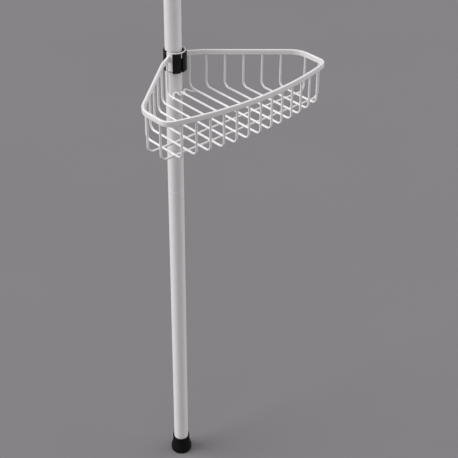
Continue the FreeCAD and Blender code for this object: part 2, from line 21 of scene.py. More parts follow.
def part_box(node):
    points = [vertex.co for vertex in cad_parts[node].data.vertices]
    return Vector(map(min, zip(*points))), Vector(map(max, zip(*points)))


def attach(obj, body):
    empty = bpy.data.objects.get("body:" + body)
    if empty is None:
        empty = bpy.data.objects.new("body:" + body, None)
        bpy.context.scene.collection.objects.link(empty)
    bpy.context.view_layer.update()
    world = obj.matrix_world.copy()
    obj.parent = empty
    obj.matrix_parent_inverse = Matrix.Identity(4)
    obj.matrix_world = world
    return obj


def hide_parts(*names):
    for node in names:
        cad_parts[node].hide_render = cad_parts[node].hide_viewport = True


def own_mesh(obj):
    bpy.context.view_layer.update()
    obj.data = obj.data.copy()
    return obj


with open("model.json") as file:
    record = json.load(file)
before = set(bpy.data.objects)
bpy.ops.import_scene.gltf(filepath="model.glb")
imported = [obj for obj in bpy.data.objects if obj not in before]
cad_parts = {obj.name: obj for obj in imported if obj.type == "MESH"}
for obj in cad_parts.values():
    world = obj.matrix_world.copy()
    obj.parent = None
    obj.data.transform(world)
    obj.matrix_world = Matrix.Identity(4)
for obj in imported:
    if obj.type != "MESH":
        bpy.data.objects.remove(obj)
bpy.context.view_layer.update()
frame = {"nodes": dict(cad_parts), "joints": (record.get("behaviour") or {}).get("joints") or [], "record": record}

# %% [markdown]
# ## Units and directions
#
# Blender works in metres, and a maker of wire goods in millimetres, so each size is written
# as millimetres times MM. The baskets open towards -Y. "Out" is the distance in front of
# the pole's axis, which reads better in a plan than a negative Y, and one small function
# turns a plan point into a point in space.

# %% Units and plan points
MM = 0.001
UP = Vector((0, 0, 1))
SHELVES = sum(name.startswith("rim_") for name in frame["nodes"])
SECTIONS = sum(name.startswith("tube_") for name in frame["nodes"])


def plan(x, out, z=0.0):
    """A point by its side step, its distance in front of the pole's axis, and its height."""
    return Vector((x, -out, z))


def around(angle, radius, z=0.0, x=0.0, out=0.0):
    """A point at an angle from straight in front of the upright axis at (x, out)."""
    return plan(x + radius * math.sin(angle), out + radius * math.cos(angle), z)


def bottom(node):
    """The lowest corner of a plain part."""
    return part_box(node)[0]


def top(node):
    """The highest corner of a plain part."""
    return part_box(node)[1]


def span(node):
    """The heights between which a plain part lies."""
    return bottom(node).z, top(node).z


def each(kind):
    """Every basket's number, with the name of its plain part of one kind."""
    return [(i, "%s_%d" % (kind, i)) for i in range(1, SHELVES + 1)]


TUBE_R = top("tube_1").x
print("%d baskets on a pole of %d sections, %.1f mm thick"
      % (SHELVES, SECTIONS, 2 * TUBE_R / MM))

# %% [markdown]
# ## The camera
#
# The pole is seen from above its first basket, and from well to the left of its front. A
# long lens keeps the pole's sides nearly parallel. The camera's turn is built from three
# plain angles, yaw, pitch and roll, because they can be read and corrected one at a time,
# which a matrix of nine numbers doesn't allow.

# %% Camera
CAMERA_PLACE = Vector((-0.902544, -1.140013, 1.441069))
CAMERA_YAW = math.radians(41.673)
CAMERA_PITCH = math.radians(33.350)
CAMERA_ROLL = math.radians(0.6235)
LENS = 84.78
SENSOR_WIDTH = 36.0


def in_scene(name, data):
    """A new object that holds some data, linked to the scene."""
    made = bpy.data.objects.new(name, data)
    bpy.context.scene.collection.objects.link(made)
    return made


camera_data = bpy.data.cameras.new("camera")
camera_data.sensor_width = SENSOR_WIDTH
camera_data.lens = LENS
camera = in_scene("camera", camera_data)
turn = Matrix.Rotation(-CAMERA_YAW, 3, "Z") @ Matrix.Rotation(math.pi / 2 - CAMERA_PITCH, 3, "X")
turn = turn @ Matrix.Rotation(CAMERA_ROLL, 3, "Z")
camera.matrix_world = Matrix.Translation(CAMERA_PLACE) @ turn.to_4x4()
bpy.context.scene.camera = camera
print("camera looks along", tuple(round(c, 3) for c in turn @ Vector((0, 0, -1))))

# %% [markdown]
# ## Shader maths as Python
#
# A material is a graph of small nodes, and a graph for "a little rougher where the film is
# thick" soon has a dozen of them. Drawing them by hand hides the sum that they stand for.
# So a small class wraps one output socket and gives it Python's own operators. An
# expression such as `0.3 + 0.1 * grain` then adds the Math nodes by itself. Every other
# kind of node comes from one method, which sets the node's options first, because options
# decide which sockets exist, and fills its sockets afterwards.

# %% The value class
class Value:
    """One output socket in a material. Arithmetic on it adds Math nodes."""

    def __init__(self, socket):
        self.socket = socket

    @staticmethod
    def node(tree, kind, settings=None, sockets=None, out=0):
        """Add a node: its type, its settings, then what its sockets hold."""
        made = tree.nodes.new(kind)
        for name, setting in (settings or {}).items():
            setattr(made, name, setting)
        for name, given in (sockets or {}).items():
            if isinstance(given, Value):
                tree.links.new(given.socket, made.inputs[name])
            else:
                made.inputs[name].default_value = given
        return Value(made.outputs[out])

    def math(self, operation, *others):
        """A Math node on this value and the others."""
        sockets = dict(enumerate((self,) + others))
        return Value.node(self.socket.id_data, "ShaderNodeMath", {"operation": operation}, sockets)

    def __add__(self, other):
        return self.math("ADD", other)

    def __mul__(self, other):
        return self.math("MULTIPLY", other)

    def __sub__(self, other):
        return self.math("SUBTRACT", other)

    def __rsub__(self, other):
        return Value.node(self.socket.id_data, "ShaderNodeMath", {"operation": "SUBTRACT"},
                          {0: other, 1: self})

    __radd__ = __add__
    __rmul__ = __mul__


print("operators ready:", "+ - *")

# %% [markdown]
# ## A finish and its common tools
#
# Each finish below starts from the same things: a fresh material, its shader, and the
# object's own coordinates in metres. Object coordinates stay fixed to a piece when it
# moves, so a speck in the paint travels with the part. Noise in metres also gives real
# sizes: a scale of 1 / 2.5 mm makes bumps 2.5 mm apart on every piece, large or small.

# %% Finish
class Finish:
    """A material with a shader, and the textures that all finishes share."""

    def __init__(self, name, **constants):
        self.name = name
        self.material = bpy.data.materials.new(name)
        self.material.use_nodes = True
        self.tree = self.material.node_tree
        self.shader = self.tree.nodes["Principled BSDF"]
        self.place = self.add("ShaderNodeTexCoord", out="Object")
        for socket, constant in constants.items():
            self.shader.inputs[socket.replace("_", " ")].default_value = constant

    def add(self, kind, settings=None, sockets=None, out=0):
        """Any other node, in this material."""
        return Value.node(self.tree, kind, settings, sockets, out)

    def stretched(self, x, y, z):
        """The object's coordinates, stretched along the axes."""
        return self.add("ShaderNodeVectorMath", {"operation": "MULTIPLY"},
                        {0: self.place, 1: (x, y, z)})

    def noise(self, size, detail=2.0, roughness=0.5, place=None):
        """Smooth noise from 0 to 1 with features of a size in metres."""
        return self.add("ShaderNodeTexNoise", None,
                        {"Vector": place or self.place, "Scale": 1.0 / size,
                         "Detail": detail, "Roughness": roughness})

    def step(self, value, low, high):
        """0 below low, 1 above high, and a soft slope between."""
        return self.add("ShaderNodeMapRange", {"interpolation_type": "SMOOTHSTEP"},
                        {"Value": value, "From Min": low, "From Max": high})

    def mix(self, factor, first, second):
        """A colour between two others."""
        return self.add("ShaderNodeMix", {"data_type": "RGBA"},
                        {0: factor, 6: first, 7: second}, out=2)

    def height(self):
        """The height above the floor, at rest."""
        return self.add("ShaderNodeSeparateXYZ", None, {0: self.place}, out="Z")

    def bump(self, relief, depth, strength=1.0):
        """Raise the surface by a relief of a real depth."""
        normal = self.add("ShaderNodeBump", None,
                          {"Height": relief, "Distance": depth, "Strength": strength})
        self.feed(Normal=normal)

    def feed(self, **sockets):
        """Drive the shader's sockets with varying values."""
        for name, value in sockets.items():
            self.tree.links.new(value.socket, self.shader.inputs[name.replace("_", " ")])

    def keep(self):
        """Put the finish in the list under its own name."""
        FINISHES[self.name] = self.material
        print("%s: %d nodes" % (self.name, len(self.tree.nodes)))


def grey(level, warmth=0.0):
    """A neutral colour, leaning to yellow with some warmth."""
    return (level * (1 + warmth), level, level * (1 - warmth), 1.0)


FINISHES = {}
print("finish tools ready")

# %% [markdown]
# ## White powder coat
#
# The steel is sprayed with dry powder and baked, and the powder melts into a tough gloss
# film. Two things give it away. The film isn't quite level: it has "orange peel", soft
# ripples about 2 mm apart and a hundredth of a millimetre deep. And the white is never a
# single white: it drifts a little where the film is thicker. An image texture could show
# this, but it would need unwrapping on fifty wires. Noise in object space needs none and is
# as sharp close up as far away.
#
# The pole's own coat has one thing more. A clip that is slid up and down leaves faint
# lengthwise rubs beside its place. They come from noise stretched along the pole, kept to
# a band round each clip's height by wrapping the height on the distance between baskets.

# %% White powder coat
RUB_NEAR = 30 * MM
RUB_FAR = 75 * MM


def white_powder_coat(name, rubbed=0.0):
    """The coat, with lengthwise rubs beside the clips where it is rubbed."""
    finish = Finish(name, IOR=1.5, Coat_Roughness=0.10)
    drift = finish.noise(60 * MM, 3.0)
    cloud = finish.noise(9 * MM, 4.0, 0.6)
    peel = finish.noise(2.2 * MM, 2.0, 0.45)
    grit = finish.noise(0.45 * MM)
    speck = finish.step(finish.noise(1.1 * MM, 1.0), 0.78, 0.84)
    tone = finish.mix(drift, grey(0.775, 0.004), grey(0.820, 0.010))
    tone = finish.mix(0.25 * cloud, tone, grey(0.755, 0.018))
    tone = finish.mix(0.30 * speck, tone, grey(0.62, 0.03))
    roughness = 0.26 + 0.10 * cloud + 0.05 * grit
    if rubbed:
        pitch = top("rim_2").z - top("rim_1").z
        from_clip = (finish.height() - top("rim_1").z).math("WRAP", pitch / 2, -pitch / 2)
        beside = 1 - finish.step(from_clip.math("ABSOLUTE"), RUB_NEAR, RUB_FAR)
        streak = finish.noise(1.6 * MM, 3.0, 0.55, finish.stretched(1.0, 1.0, 0.012))
        rub = rubbed * beside * finish.step(streak, 0.56, 0.70)
        tone = finish.mix(0.35 * rub, tone, grey(0.68, 0.012))
        roughness = roughness + 0.16 * rub
    finish.feed(Base_Color=tone, Roughness=roughness, Coat_Weight=0.32 - 0.12 * cloud)
    finish.bump(peel + 0.12 * grit, depth=0.012 * MM, strength=0.9)
    finish.keep()


white_powder_coat("white_powder_coat")
white_powder_coat("pole_coat", rubbed=0.6)

# %% [markdown]
# ## Black moulded plastic
#
# The clips, the twist nut, the bush and the ceiling cap come from a mould whose walls were
# eroded by sparks, which leaves a fine even grain that kills the shine. The plastic itself
# flows into the mould and chills, so its gloss drifts slowly over a piece. In soft light
# such a piece reads as almost pure black, with its form drawn by the highlight along its
# edges, so the colour is very deep and the shine is kept weak but not rough.

# %% Black plastic
def black_plastic():
    """A deep black with slow flow lines, a fine grain and a few rubbed places."""
    finish = Finish("black_plastic", IOR=1.49, Specular_IOR_Level=0.28)
    flow = finish.noise(14 * MM, 2.0, place=finish.stretched(1.0, 1.0, 0.35))
    grain = finish.noise(0.35 * MM, 3.0, 0.6)
    rub = finish.step(finish.noise(5 * MM, 4.0, 0.7), 0.55, 0.75)
    tone = finish.mix(flow, grey(0.0016, -0.04), grey(0.0028, -0.06))
    finish.feed(Base_Color=finish.mix(0.30 * rub, tone, grey(0.0070, -0.02)),
                Roughness=0.26 + 0.10 * flow + 0.10 * grain)
    finish.bump(grain, depth=0.02 * MM, strength=0.55)
    finish.keep()


black_plastic()

# %% [markdown]
# ## Black rubber
#
# The foot, the ceiling pad and the liners in the clips are soft rubber. Rubber scatters
# light in all directions, so it has no clear highlight at all. It also picks up dust, most
# of it on the lowest few millimetres of the foot, where a mask on the height above the
# floor puts it.

# %% Black rubber
DUST_FULL = 0.5 * MM
DUST_ENDS = 9 * MM


def black_rubber():
    """A dull black with a faint bloom, and dust near the floor."""
    finish = Finish("black_rubber", IOR=1.45, Specular_IOR_Level=0.15)
    bloom = finish.noise(7 * MM, 4.0, 0.6)
    grain = finish.noise(0.6 * MM, 3.0, 0.65)
    low = 1 - finish.step(finish.height(), DUST_FULL, DUST_ENDS)
    dust = finish.step(grain * 0.5 + bloom * 0.5, 0.42, 0.66)
    tone = finish.mix(bloom, grey(0.0026), grey(0.0046, 0.02))
    tone = finish.mix(0.08 * dust, tone, grey(0.020, 0.02))
    finish.feed(Base_Color=finish.mix(0.10 * low * dust, tone, grey(0.06, 0.04)),
                Roughness=0.52 + 0.22 * bloom)
    finish.bump(grain, depth=0.05 * MM, strength=0.6)
    finish.keep()


black_rubber()

# %% [markdown]
# ## Nylon, grey and white
#
# The plugs, the glide, the collet, the spring's seat and the piston are plain nylon. Nobody
# polishes the inside of a pole, so the finish is dull with faint flow lines. Most of them
# keep the resin's own grey. The plugs that join the sections are dyed white, because their
# ribs show between the tubes. One function makes both, and is told the darkest and the
# lightest tone.

# %% Nylon
def nylon(name, dark, light):
    """Plain nylon between two tones."""
    finish = Finish(name, IOR=1.53)
    flow = finish.noise(11 * MM, 3.0, place=finish.stretched(1.0, 1.0, 0.3))
    grain = finish.noise(0.5 * MM)
    finish.feed(Base_Color=finish.mix(flow, dark, light),
                Roughness=0.42 + 0.14 * flow + 0.06 * grain)
    finish.bump(grain, depth=0.02 * MM, strength=0.5)
    finish.keep()


nylon("grey_plastic", grey(0.31, -0.01), grey(0.39, 0.01))
nylon("white_plastic", grey(0.73, 0.005), grey(0.78, 0.012))

# %% [markdown]
# ## Two steels
#
# Spring wire is drawn through a die and oiled: a darker steel with a fine grain and a film
# of oil that changes its shine in patches. The plunger is drawn tube with a bright plated
# skin, whose draw lines run straight up and down. Both are metals, so their colour sits in
# the reflection. The lines come from noise that is stretched along the tube, which is how
# drawing makes them.

# %% Steels
def steel(name, dark, light, patch, roughness, drawn=None):
    """Bare steel with patches of a size, and its draw lines stretched along the axes."""
    finish = Finish(name, Metallic=1.0)
    haze = finish.noise(patch, 3.0)
    lines = finish.noise(0.3 * MM, place=finish.stretched(*drawn) if drawn else None)
    finish.feed(Base_Color=finish.mix(haze, dark, light),
                Roughness=roughness + 0.10 * haze + 0.06 * lines)
    finish.bump(lines, depth=0.006 * MM, strength=0.5)
    finish.keep()


steel("spring_steel", grey(0.36, 0.01), grey(0.47, -0.01), 8 * MM, 0.26)
steel("bright_steel", grey(0.74, -0.01), grey(0.80, -0.015), 22 * MM, 0.10, (1.0, 1.0, 0.01))
print("finishes:", ", ".join(FINISHES))

# %% [markdown]
# ## Meshes from rings of points
#
# Nearly every piece here is round, bent or turned, and all three can be described in the
# same way: a row of rings of points, each ring joined to the next by four-sided faces. For
# a turned piece the rings stand round an axis, and for a bent wire they follow its path.
# Blender's curve objects could make the wires too, but they bevel every bend alike and
# can't swell at a weld. One ring function serves for all, and welding points that coincide
# lets a ring shrink to a single point where a piece is solid to its axis.

# %% Pieces from rings
SMOOTH_UP_TO = math.radians(36)
SAME_POINT = 1e-7


def piece_from(bm, name):
    """Close a bmesh, and make it an object with soft curves and crisp corners."""
    bmesh.ops.remove_doubles(bm, verts=bm.verts, dist=SAME_POINT)
    bmesh.ops.recalc_face_normals(bm, faces=bm.faces)
    mesh = bpy.data.meshes.new(name)
    bm.to_mesh(mesh)
    bm.free()
    mesh.shade_smooth()
    mesh.set_sharp_from_angle(angle=SMOOTH_UP_TO)
    return in_scene(name, mesh)


def add_rings(bm, rings, closed):
    """Join each ring to the next by faces, round to the first again or capped at both ends."""
    rows = [[bm.verts.new(point) for point in ring] for ring in rings]
    for near, far in zip(rows, rows[1:] + (rows[:1] if closed else [])):
        for j in range(len(near)):
            bm.faces.new((near[j - 1], near[j], far[j], far[j - 1]))
    if not closed:
        bm.faces.new(rows[0])
        bm.faces.new(rows[-1])


def ringed(name, rings, closed=False):
    """One piece from one row of rings."""
    bm = bmesh.new()
    add_rings(bm, rings, closed)
    return piece_from(bm, name)


def settle(piece, body, slot, *nodes, finish=None):
    """Give a piece its finish and the body it rides on, and hide the plain parts it stands for."""
    piece.data.materials.append(FINISHES[finish or slot])
    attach(piece, body)
    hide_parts(*nodes)


print("curves stay smooth up to %.0f degrees" % math.degrees(SMOOTH_UP_TO))

# %% [markdown]
# ## Straight runs and round corners
#
# A bent wire and the outline of a turned piece are drawn alike: corner points, each with
# the radius that rounds it. The function below replaces a corner by an arc. It also leaves
# a point half a millimetre before and after each arc. Smooth shading blends across whole
# faces, and without that point the blend would run down the entire straight run and make
# it look bent.

# %% Rounded paths
ARC_STEP = math.radians(7)
HOLD = 0.5 * MM


def rounded_path(points, radii, closed=False):
    """Points along straight runs, with an arc of its own radius round each corner."""
    count = len(points)
    corners = []
    for i, corner in enumerate(points):
        if not radii[i]:
            corners.append((corner, corner, None))
            continue
        before = (points[i - 1] - corner).normalized()
        after = (points[(i + 1) % count] - corner).normalized()
        half = before.angle(after) / 2
        reach = radii[i] / math.tan(half)
        centre = corner + (before + after).normalized() * (radii[i] / math.sin(half))
        corners.append((corner + before * reach, corner + after * reach, centre))
    path = []
    for i, (start, end, centre) in enumerate(corners):
        ahead = corners[(i + 1) % count][0] - end
        behind = corners[i - 1][1] - start
        if centre is None:
            path.append(start)
            continue
        if closed or i > 0:
            path.append(start + behind.normalized() * min(HOLD, behind.length / 3))
        first, last = start - centre, end - centre
        steps = max(2, math.ceil(first.angle(last) / ARC_STEP))
        for k in range(steps + 1):
            path.append(centre + first.slerp(last, k / steps) * radii[i])
        if closed or i < count - 1:
            path.append(end + ahead.normalized() * min(HOLD, ahead.length / 3))
    return path


test = rounded_path([plan(0, 0), plan(1, 0), plan(1, 1)], [0, 0.5, 0])
print("a square corner becomes %d points" % len(test))

# %% Turned pieces
SEGMENTS = 96
FINE_SEGMENTS = 128


def rounded_outline(profile):
    """A closed outline from (radius, height, corner radius) stations, all in metres."""
    points = [Vector((r, 0, z)) for r, z, _ in profile]
    return rounded_path(points, [c for _, _, c in profile], closed=True)


def turned(name, profile, segments=SEGMENTS, reshape=None):
    """A turned piece. Where reshape is given, it changes each radius by the angle."""
    outline = rounded_outline(profile)
    rings = []
    for k in range(segments):
        angle = 2 * math.pi * k / segments
        radii = [reshape(point.x, angle) if reshape else point.x for point in outline]
        rings.append([around(angle, r, point.z) for r, point in zip(radii, outline)])
    return ringed(name, rings, closed=True)


print("turned pieces have %d sides, glossy ones %d" % (SEGMENTS, FINE_SEGMENTS))

# %% [markdown]
# ## The foot
#
# The foot is a soft rubber cup that keeps the pole from sliding and from marking the floor.
# It was moulded in one piece: a wide base, a taper and a thin collar that grips the tube.
# Rubber tears at sharp edges and sticks in a sharp mould, so every edge is rounded. It is
# turned from an outline with a radius at each corner, and the sole is set in from the
# base's widest line, which leaves the thin shadow where it meets the floor.

# %% Foot
SEAT_FIT = 0.1 * MM
FOOT_BASE_R = top("foot").x
FOOT_HEIGHT = top("foot").z
FOOT_BORE_R = TUBE_R + SEAT_FIT
FOOT_COLLAR_WALL = 2.4 * MM
FOOT_COLLAR_R = FOOT_BORE_R + FOOT_COLLAR_WALL
FOOT_SOLE_INSET = 2.0 * MM
FOOT_SOLE_EDGE = 1.4 * MM
FOOT_EDGE = 0.8 * MM
FOOT_BORE_EDGE = 0.5 * MM
FOOT_SHOULDER = 8.2 * MM
FOOT_COLLAR_START = 21.4 * MM
FOOT_SOFT_BEND = 3.7 * MM
FOOT_CUP = 5.0 * MM

foot = turned("rubber_foot", [
    (0, 0, 0), (FOOT_BASE_R - FOOT_SOLE_INSET, 0, FOOT_EDGE),
    (FOOT_BASE_R, FOOT_SOLE_EDGE, FOOT_SOLE_EDGE), (FOOT_BASE_R, FOOT_SHOULDER, FOOT_SOFT_BEND),
    (FOOT_COLLAR_R, FOOT_COLLAR_START, FOOT_SOFT_BEND), (FOOT_COLLAR_R, FOOT_HEIGHT, FOOT_EDGE),
    (FOOT_BORE_R, FOOT_HEIGHT, FOOT_BORE_EDGE), (FOOT_BORE_R, FOOT_CUP, 0), (0, FOOT_CUP, 0)])
settle(foot, "pole", "black_rubber", "foot")
print("foot: %.1f mm across, %d faces" % (2 * FOOT_BASE_R / MM, len(foot.data.polygons)))

# %% [markdown]
# ## The pole's sections
#
# Each section is welded steel tube. Its lower end is sawn and only freed of burrs, and its
# upper end is rolled over a little, so that a hand can rest on it while the pole is put
# together. A plug inside joins one to the next, and its thin rib shows between them. The
# rolled edge faces upwards and catches the light as one fine bright ring. A cylinder from
# the menu would have sharp ends and no wall, so the tube is turned. It gets 128 sides,
# because the coat is glossy and a coarser tube would show its facets as stripes.

# %% Pole sections
TUBE_WALL = 1.0 * MM
SAWN_EDGE = 0.15 * MM
ROLLED_EDGE = 0.75 * MM


def tube_piece(name, node):
    """A tube in the place of a plain one, sawn at its foot and rolled over at its top."""
    radius, inside = top(node).x, top(node).x - TUBE_WALL
    low, high = span(node)
    return turned(name, [(inside, low, 0), (radius, low, SAWN_EDGE), (radius, high, ROLLED_EDGE),
                         (inside, high, 0)], FINE_SEGMENTS)


for i in range(1, SECTIONS + 1):
    section = tube_piece("pole_section_%d" % i, "tube_%d" % i)
    settle(section, "pole", "white_powder_coat", "tube_%d" % i, finish="pole_coat")
print("pole: %d sections, the first %.0f mm long"
      % (SECTIONS, (top("tube_1").z - bottom("tube_1").z) / MM))

# %% [markdown]
# ## The basket's plan
#
# The basket's rim is one flat bar, bent on edge. From the saddle it runs out, bends at a
# soft elbow, follows the wall to a wide rear corner, turns along a short end, rounds a
# tighter front corner and crosses the front in a shallow bow. Every wire hangs from that
# line, so it is worked out once, as functions of the side step. Then nothing has to be
# placed by eye, and a wire always meets the rim.

# %% Plan of the rim
RIM_THICKNESS = 3.7 * MM
RIM_HEIGHT = top("rim_1").z - bottom("rim_1").z
WIRE_R = 1.65 * MM
HALF_WIDTH = top("rim_1").x - RIM_THICKNESS / 2
SIDE_ANGLE = math.radians(40.3)
RAIL_BEND_X = 37.5 * MM
RAIL_BEND_OUT = 21.4 * MM
RAIL_END_ANGLE = math.radians(31.3)
END_LENGTH = 52.3 * MM
BOW_RADIUS = 483.0 * MM
RAIL_BEND_R = 15.0 * MM
REAR_CORNER_R = 32.0 * MM
FRONT_CORNER_R = 14.5 * MM
SADDLE_OFFSET = 3.0 * MM
SADDLE_WALL = 1.3 * MM
SADDLE_R = -bottom("saddle_1").y - SADDLE_OFFSET

REAR_CORNER_OUT = RAIL_BEND_OUT + (HALF_WIDTH - RAIL_BEND_X) * math.tan(SIDE_ANGLE)
FRONT_CORNER_OUT = REAR_CORNER_OUT + END_LENGTH
BOW_CENTRE = FRONT_CORNER_OUT - math.sqrt(BOW_RADIUS ** 2 - HALF_WIDTH ** 2)


def rail_end():
    """Where a side rail's last stretch runs into the saddle's wall."""
    dx, dout = math.cos(RAIL_END_ANGLE), math.sin(RAIL_END_ANGLE)
    x, out = RAIL_BEND_X, RAIL_BEND_OUT - SADDLE_OFFSET
    miss = x * dout - out * dx
    run = x * dx + out * dout - math.sqrt((SADDLE_R - SADDLE_WALL / 2) ** 2 - miss ** 2)
    return RAIL_BEND_X - run * dx, RAIL_BEND_OUT - run * dout


def rail_out(x):
    """How far out a side rail's centre line is at a side step."""
    if abs(x) > RAIL_BEND_X:
        return RAIL_BEND_OUT + (abs(x) - RAIL_BEND_X) * math.tan(SIDE_ANGLE)
    end, end_out = rail_end()
    share = (abs(x) - end) / (RAIL_BEND_X - end)
    return end_out + share * (RAIL_BEND_OUT - end_out)


def front_out(x):
    """How far out the bowed front's centre line is at a side step."""
    return BOW_CENTRE + math.sqrt(BOW_RADIUS ** 2 - x ** 2)


def end_x(out):
    """Side step of the short end's centre line, which curves in at the rear corner."""
    straight_from = REAR_CORNER_OUT + REAR_CORNER_R * math.tan((math.pi / 2 - SIDE_ANGLE) / 2)
    into_curve = max(0.0, straight_from - out)
    return HALF_WIDTH - REAR_CORNER_R + math.sqrt(REAR_CORNER_R ** 2 - into_curve ** 2)


print("front bow %.1f mm out in the middle, %.1f at its ends"
      % (front_out(0) / MM, FRONT_CORNER_OUT / MM))

# %% [markdown]
# ## Carrying a section along a path
#
# Wire and bar are made by the same move: a flat section is carried along a path and kept
# square to it. For round wire the section may roll freely, so each frame is taken from the
# one before with the least turn. The flat bar must stay on edge, so its section always
# keeps one side upright. Each station also has a width. With that a wire can swell where
# weld metal sits, or shrink to a rounded tip where it was cropped. The tables WELDED and
# CROPPED give such widths at distances from the wire's end, in millimetres.

# %% Sweeps
WIRE_SIDES = 24
WELDED = ((0.0, 0.88), (0.6, 1.03), (1.1, 1.11), (1.7, 1.06), (2.8, 1.0))
CROPPED = ((0.0, 0.60), (0.07, 0.78), (0.22, 0.91), (0.55, 1.0))
NEARLY_UPRIGHT = 0.9


def circle(radius, sides):
    """The points of a flat round section."""
    angles = [2 * math.pi * k / sides for k in range(sides)]
    return [(radius * math.cos(a), radius * math.sin(a)) for a in angles]


def with_ends(path, first, last):
    """Stations of (point, width) along a path, with shaped ends of (millimetres, width)."""
    ahead = (path[1] - path[0]).normalized()
    back = (path[-2] - path[-1]).normalized()
    head = [(path[0] + ahead * (d * MM), width) for d, width in first]
    tail = [(path[-1] + back * (d * MM), width) for d, width in last]
    return head + [(point, 1.0) for point in path[1:-1]] + tail[::-1]


def swept_rings(stations, section, on_edge=False):
    """Rings of a section that is carried along stations of (point, width)."""
    points = [point for point, _ in stations]
    side = None
    rings = []
    for i, (point, width) in enumerate(stations):
        before = points[max(i - 1, 0)]
        after = points[min(i + 1, len(points) - 1)]
        along = (after - before).normalized()
        if on_edge or side is None:
            side = along.cross(UP if abs(along.z) < NEARLY_UPRIGHT else Vector((1, 0, 0)))
        side = (side - along * side.dot(along)).normalized()
        over = side.cross(along)
        rings.append([point + (side * a + over * b) * width for a, b in section])
    return rings


def wire(name, points, radii, first=WELDED, last=WELDED):
    """One bent round wire."""
    stations = with_ends(rounded_path(points, radii), first, last)
    return ringed(name, swept_rings(stations, circle(WIRE_R, WIRE_SIDES)))


def length_of(points):
    """The length of a line through points."""
    return sum((b - a).length for a, b in zip(points, points[1:]))


print("a wire has %d sides and is %.1f mm thick" % (WIRE_SIDES, 2 * WIRE_R / MM))

# %% [markdown]
# ## The rim bar
#
# The bar's edges are rounded, which strip steel has from rolling, and the coat rounds them
# a little more. That edge catches a bright line along the whole rim, so its radius matters
# more than anything else about the bar. Both ends run into the saddle's wall and swell a
# little there, where the weld bead sits under the coat.

# %% The rim's line
BOW_STEP = math.radians(0.8)
CORNER_STEP = ARC_STEP / 1.5


def arc(radius, start, end, step, x=0.0, out=0.0):
    """Plan points round an upright axis, from one angle to another."""
    steps = math.ceil(abs(end - start) / step)
    return [around(start + (end - start) * k / steps, radius, 0.0, x, out)
            for k in range(steps + 1)]


def rim_line():
    """The rim's centre line, from its left end on the saddle round to its right end."""
    corner_x = HALF_WIDTH - FRONT_CORNER_R
    corner_out = BOW_CENTRE + math.sqrt((BOW_RADIUS - FRONT_CORNER_R) ** 2 - corner_x ** 2)
    lean = math.atan2(corner_x, corner_out - BOW_CENTRE)
    bow = arc(BOW_RADIUS, 0, lean, BOW_STEP, 0.0, BOW_CENTRE)
    corner = arc(FRONT_CORNER_R, lean, math.pi / 2, CORNER_STEP, corner_x, corner_out)
    rail = rounded_path([corner[-1], plan(HALF_WIDTH, REAR_CORNER_OUT),
                         plan(RAIL_BEND_X, RAIL_BEND_OUT), plan(*rail_end())],
                        [0, REAR_CORNER_R, RAIL_BEND_R, 0])
    half = bow + corner[1:] + rail[1:]
    return [Vector((-p.x, p.y, 0)) for p in reversed(half[1:])] + half


RIM_LINE = rim_line()
print("the rim's line: %d points, %.0f mm" % (len(RIM_LINE), length_of(RIM_LINE) / MM))

# %% Rim bars
RIM_EDGE_R = 1.2 * MM
BAR_WELD = ((0.0, 1.10), (0.8, 1.09), (1.5, 1.05), (2.4, 1.01), (3.4, 1.0))


def bar_section():
    """The rounded outline of the flat bar."""
    a, b = RIM_THICKNESS / 2, RIM_HEIGHT / 2
    corners = [Vector((x * a, 0, z * b)) for x, z in ((1, -1), (1, 1), (-1, 1), (-1, -1))]
    return [(p.x, p.z) for p in rounded_path(corners, [RIM_EDGE_R] * 4, closed=True)]


for i, node in each("rim"):
    middle = Vector((0, 0, top(node).z - RIM_HEIGHT / 2))
    stations = with_ends([point + middle for point in RIM_LINE], BAR_WELD, BAR_WELD)
    bar = ringed("rim_bar_%d" % i, swept_rings(stations, bar_section(), on_edge=True))
    settle(bar, "basket_%d" % i, "white_powder_coat", node)
print("rim bars: %d, %d faces each" % (SHELVES, len(bar.data.polygons)))

# %% [markdown]
# ## The floor wires
#
# Thirteen wires run from front to back and make the basket's floor. Twelve of them turn up
# at both ends and are welded under the rim. The middle one has nowhere to go at the back,
# because the pole is there, so it stops short and its cropped tip is rounded by the coat.
# The front bends are a little tighter than the rear ones, as they come off the bending
# tool. Each wire is a piece of its own, as on the welding jig.

# %% Floor wires
WIRE_BAYS = 7
FRONT_BEND_R = 8.0 * MM
BACK_BEND_R = 9.0 * MM
WELD_SUNK = 1.1 * MM
FREE_END = 15.55 * MM
WIRE_PITCH = HALF_WIDTH / WIRE_BAYS
WIRE_COUNTS = range(1 - WIRE_BAYS, WIRE_BAYS)


def floor_wire(name, k, under_rim, floor):
    """A floor wire, counted from the middle one."""
    x, end = k * WIRE_PITCH, under_rim + WELD_SUNK
    points = [plan(x, front_out(x), end), plan(x, front_out(x), floor)]
    if k == 0:
        points.append(plan(x, FREE_END, floor))
        return wire(name, points, [0, FRONT_BEND_R, 0], last=CROPPED)
    points += [plan(x, rail_out(x), floor), plan(x, rail_out(x), end)]
    return wire(name, points, [0, FRONT_BEND_R, BACK_BEND_R, 0])


for i, node in each("cross_wires"):
    for k in WIRE_COUNTS:
        piece = floor_wire("floor_wire_%d_%02d" % (i, k + WIRE_BAYS), k, top(node).z,
                           bottom(node).z + WIRE_R)
        settle(piece, "basket_%d" % i, "white_powder_coat", node)
print("floor wires: %d a basket, %.1f mm apart" % (len(WIRE_COUNTS), WIRE_PITCH / MM))

# %% [markdown]
# ## The runner wires
#
# Two long wires lie across under the floor wires and stop them from spreading. Their ends
# turn up in a wide bend to the short ends of the rim. The rear one meets the rim where the
# wide corner has already begun, so its side step comes from the curve and not from the
# basket's half width.

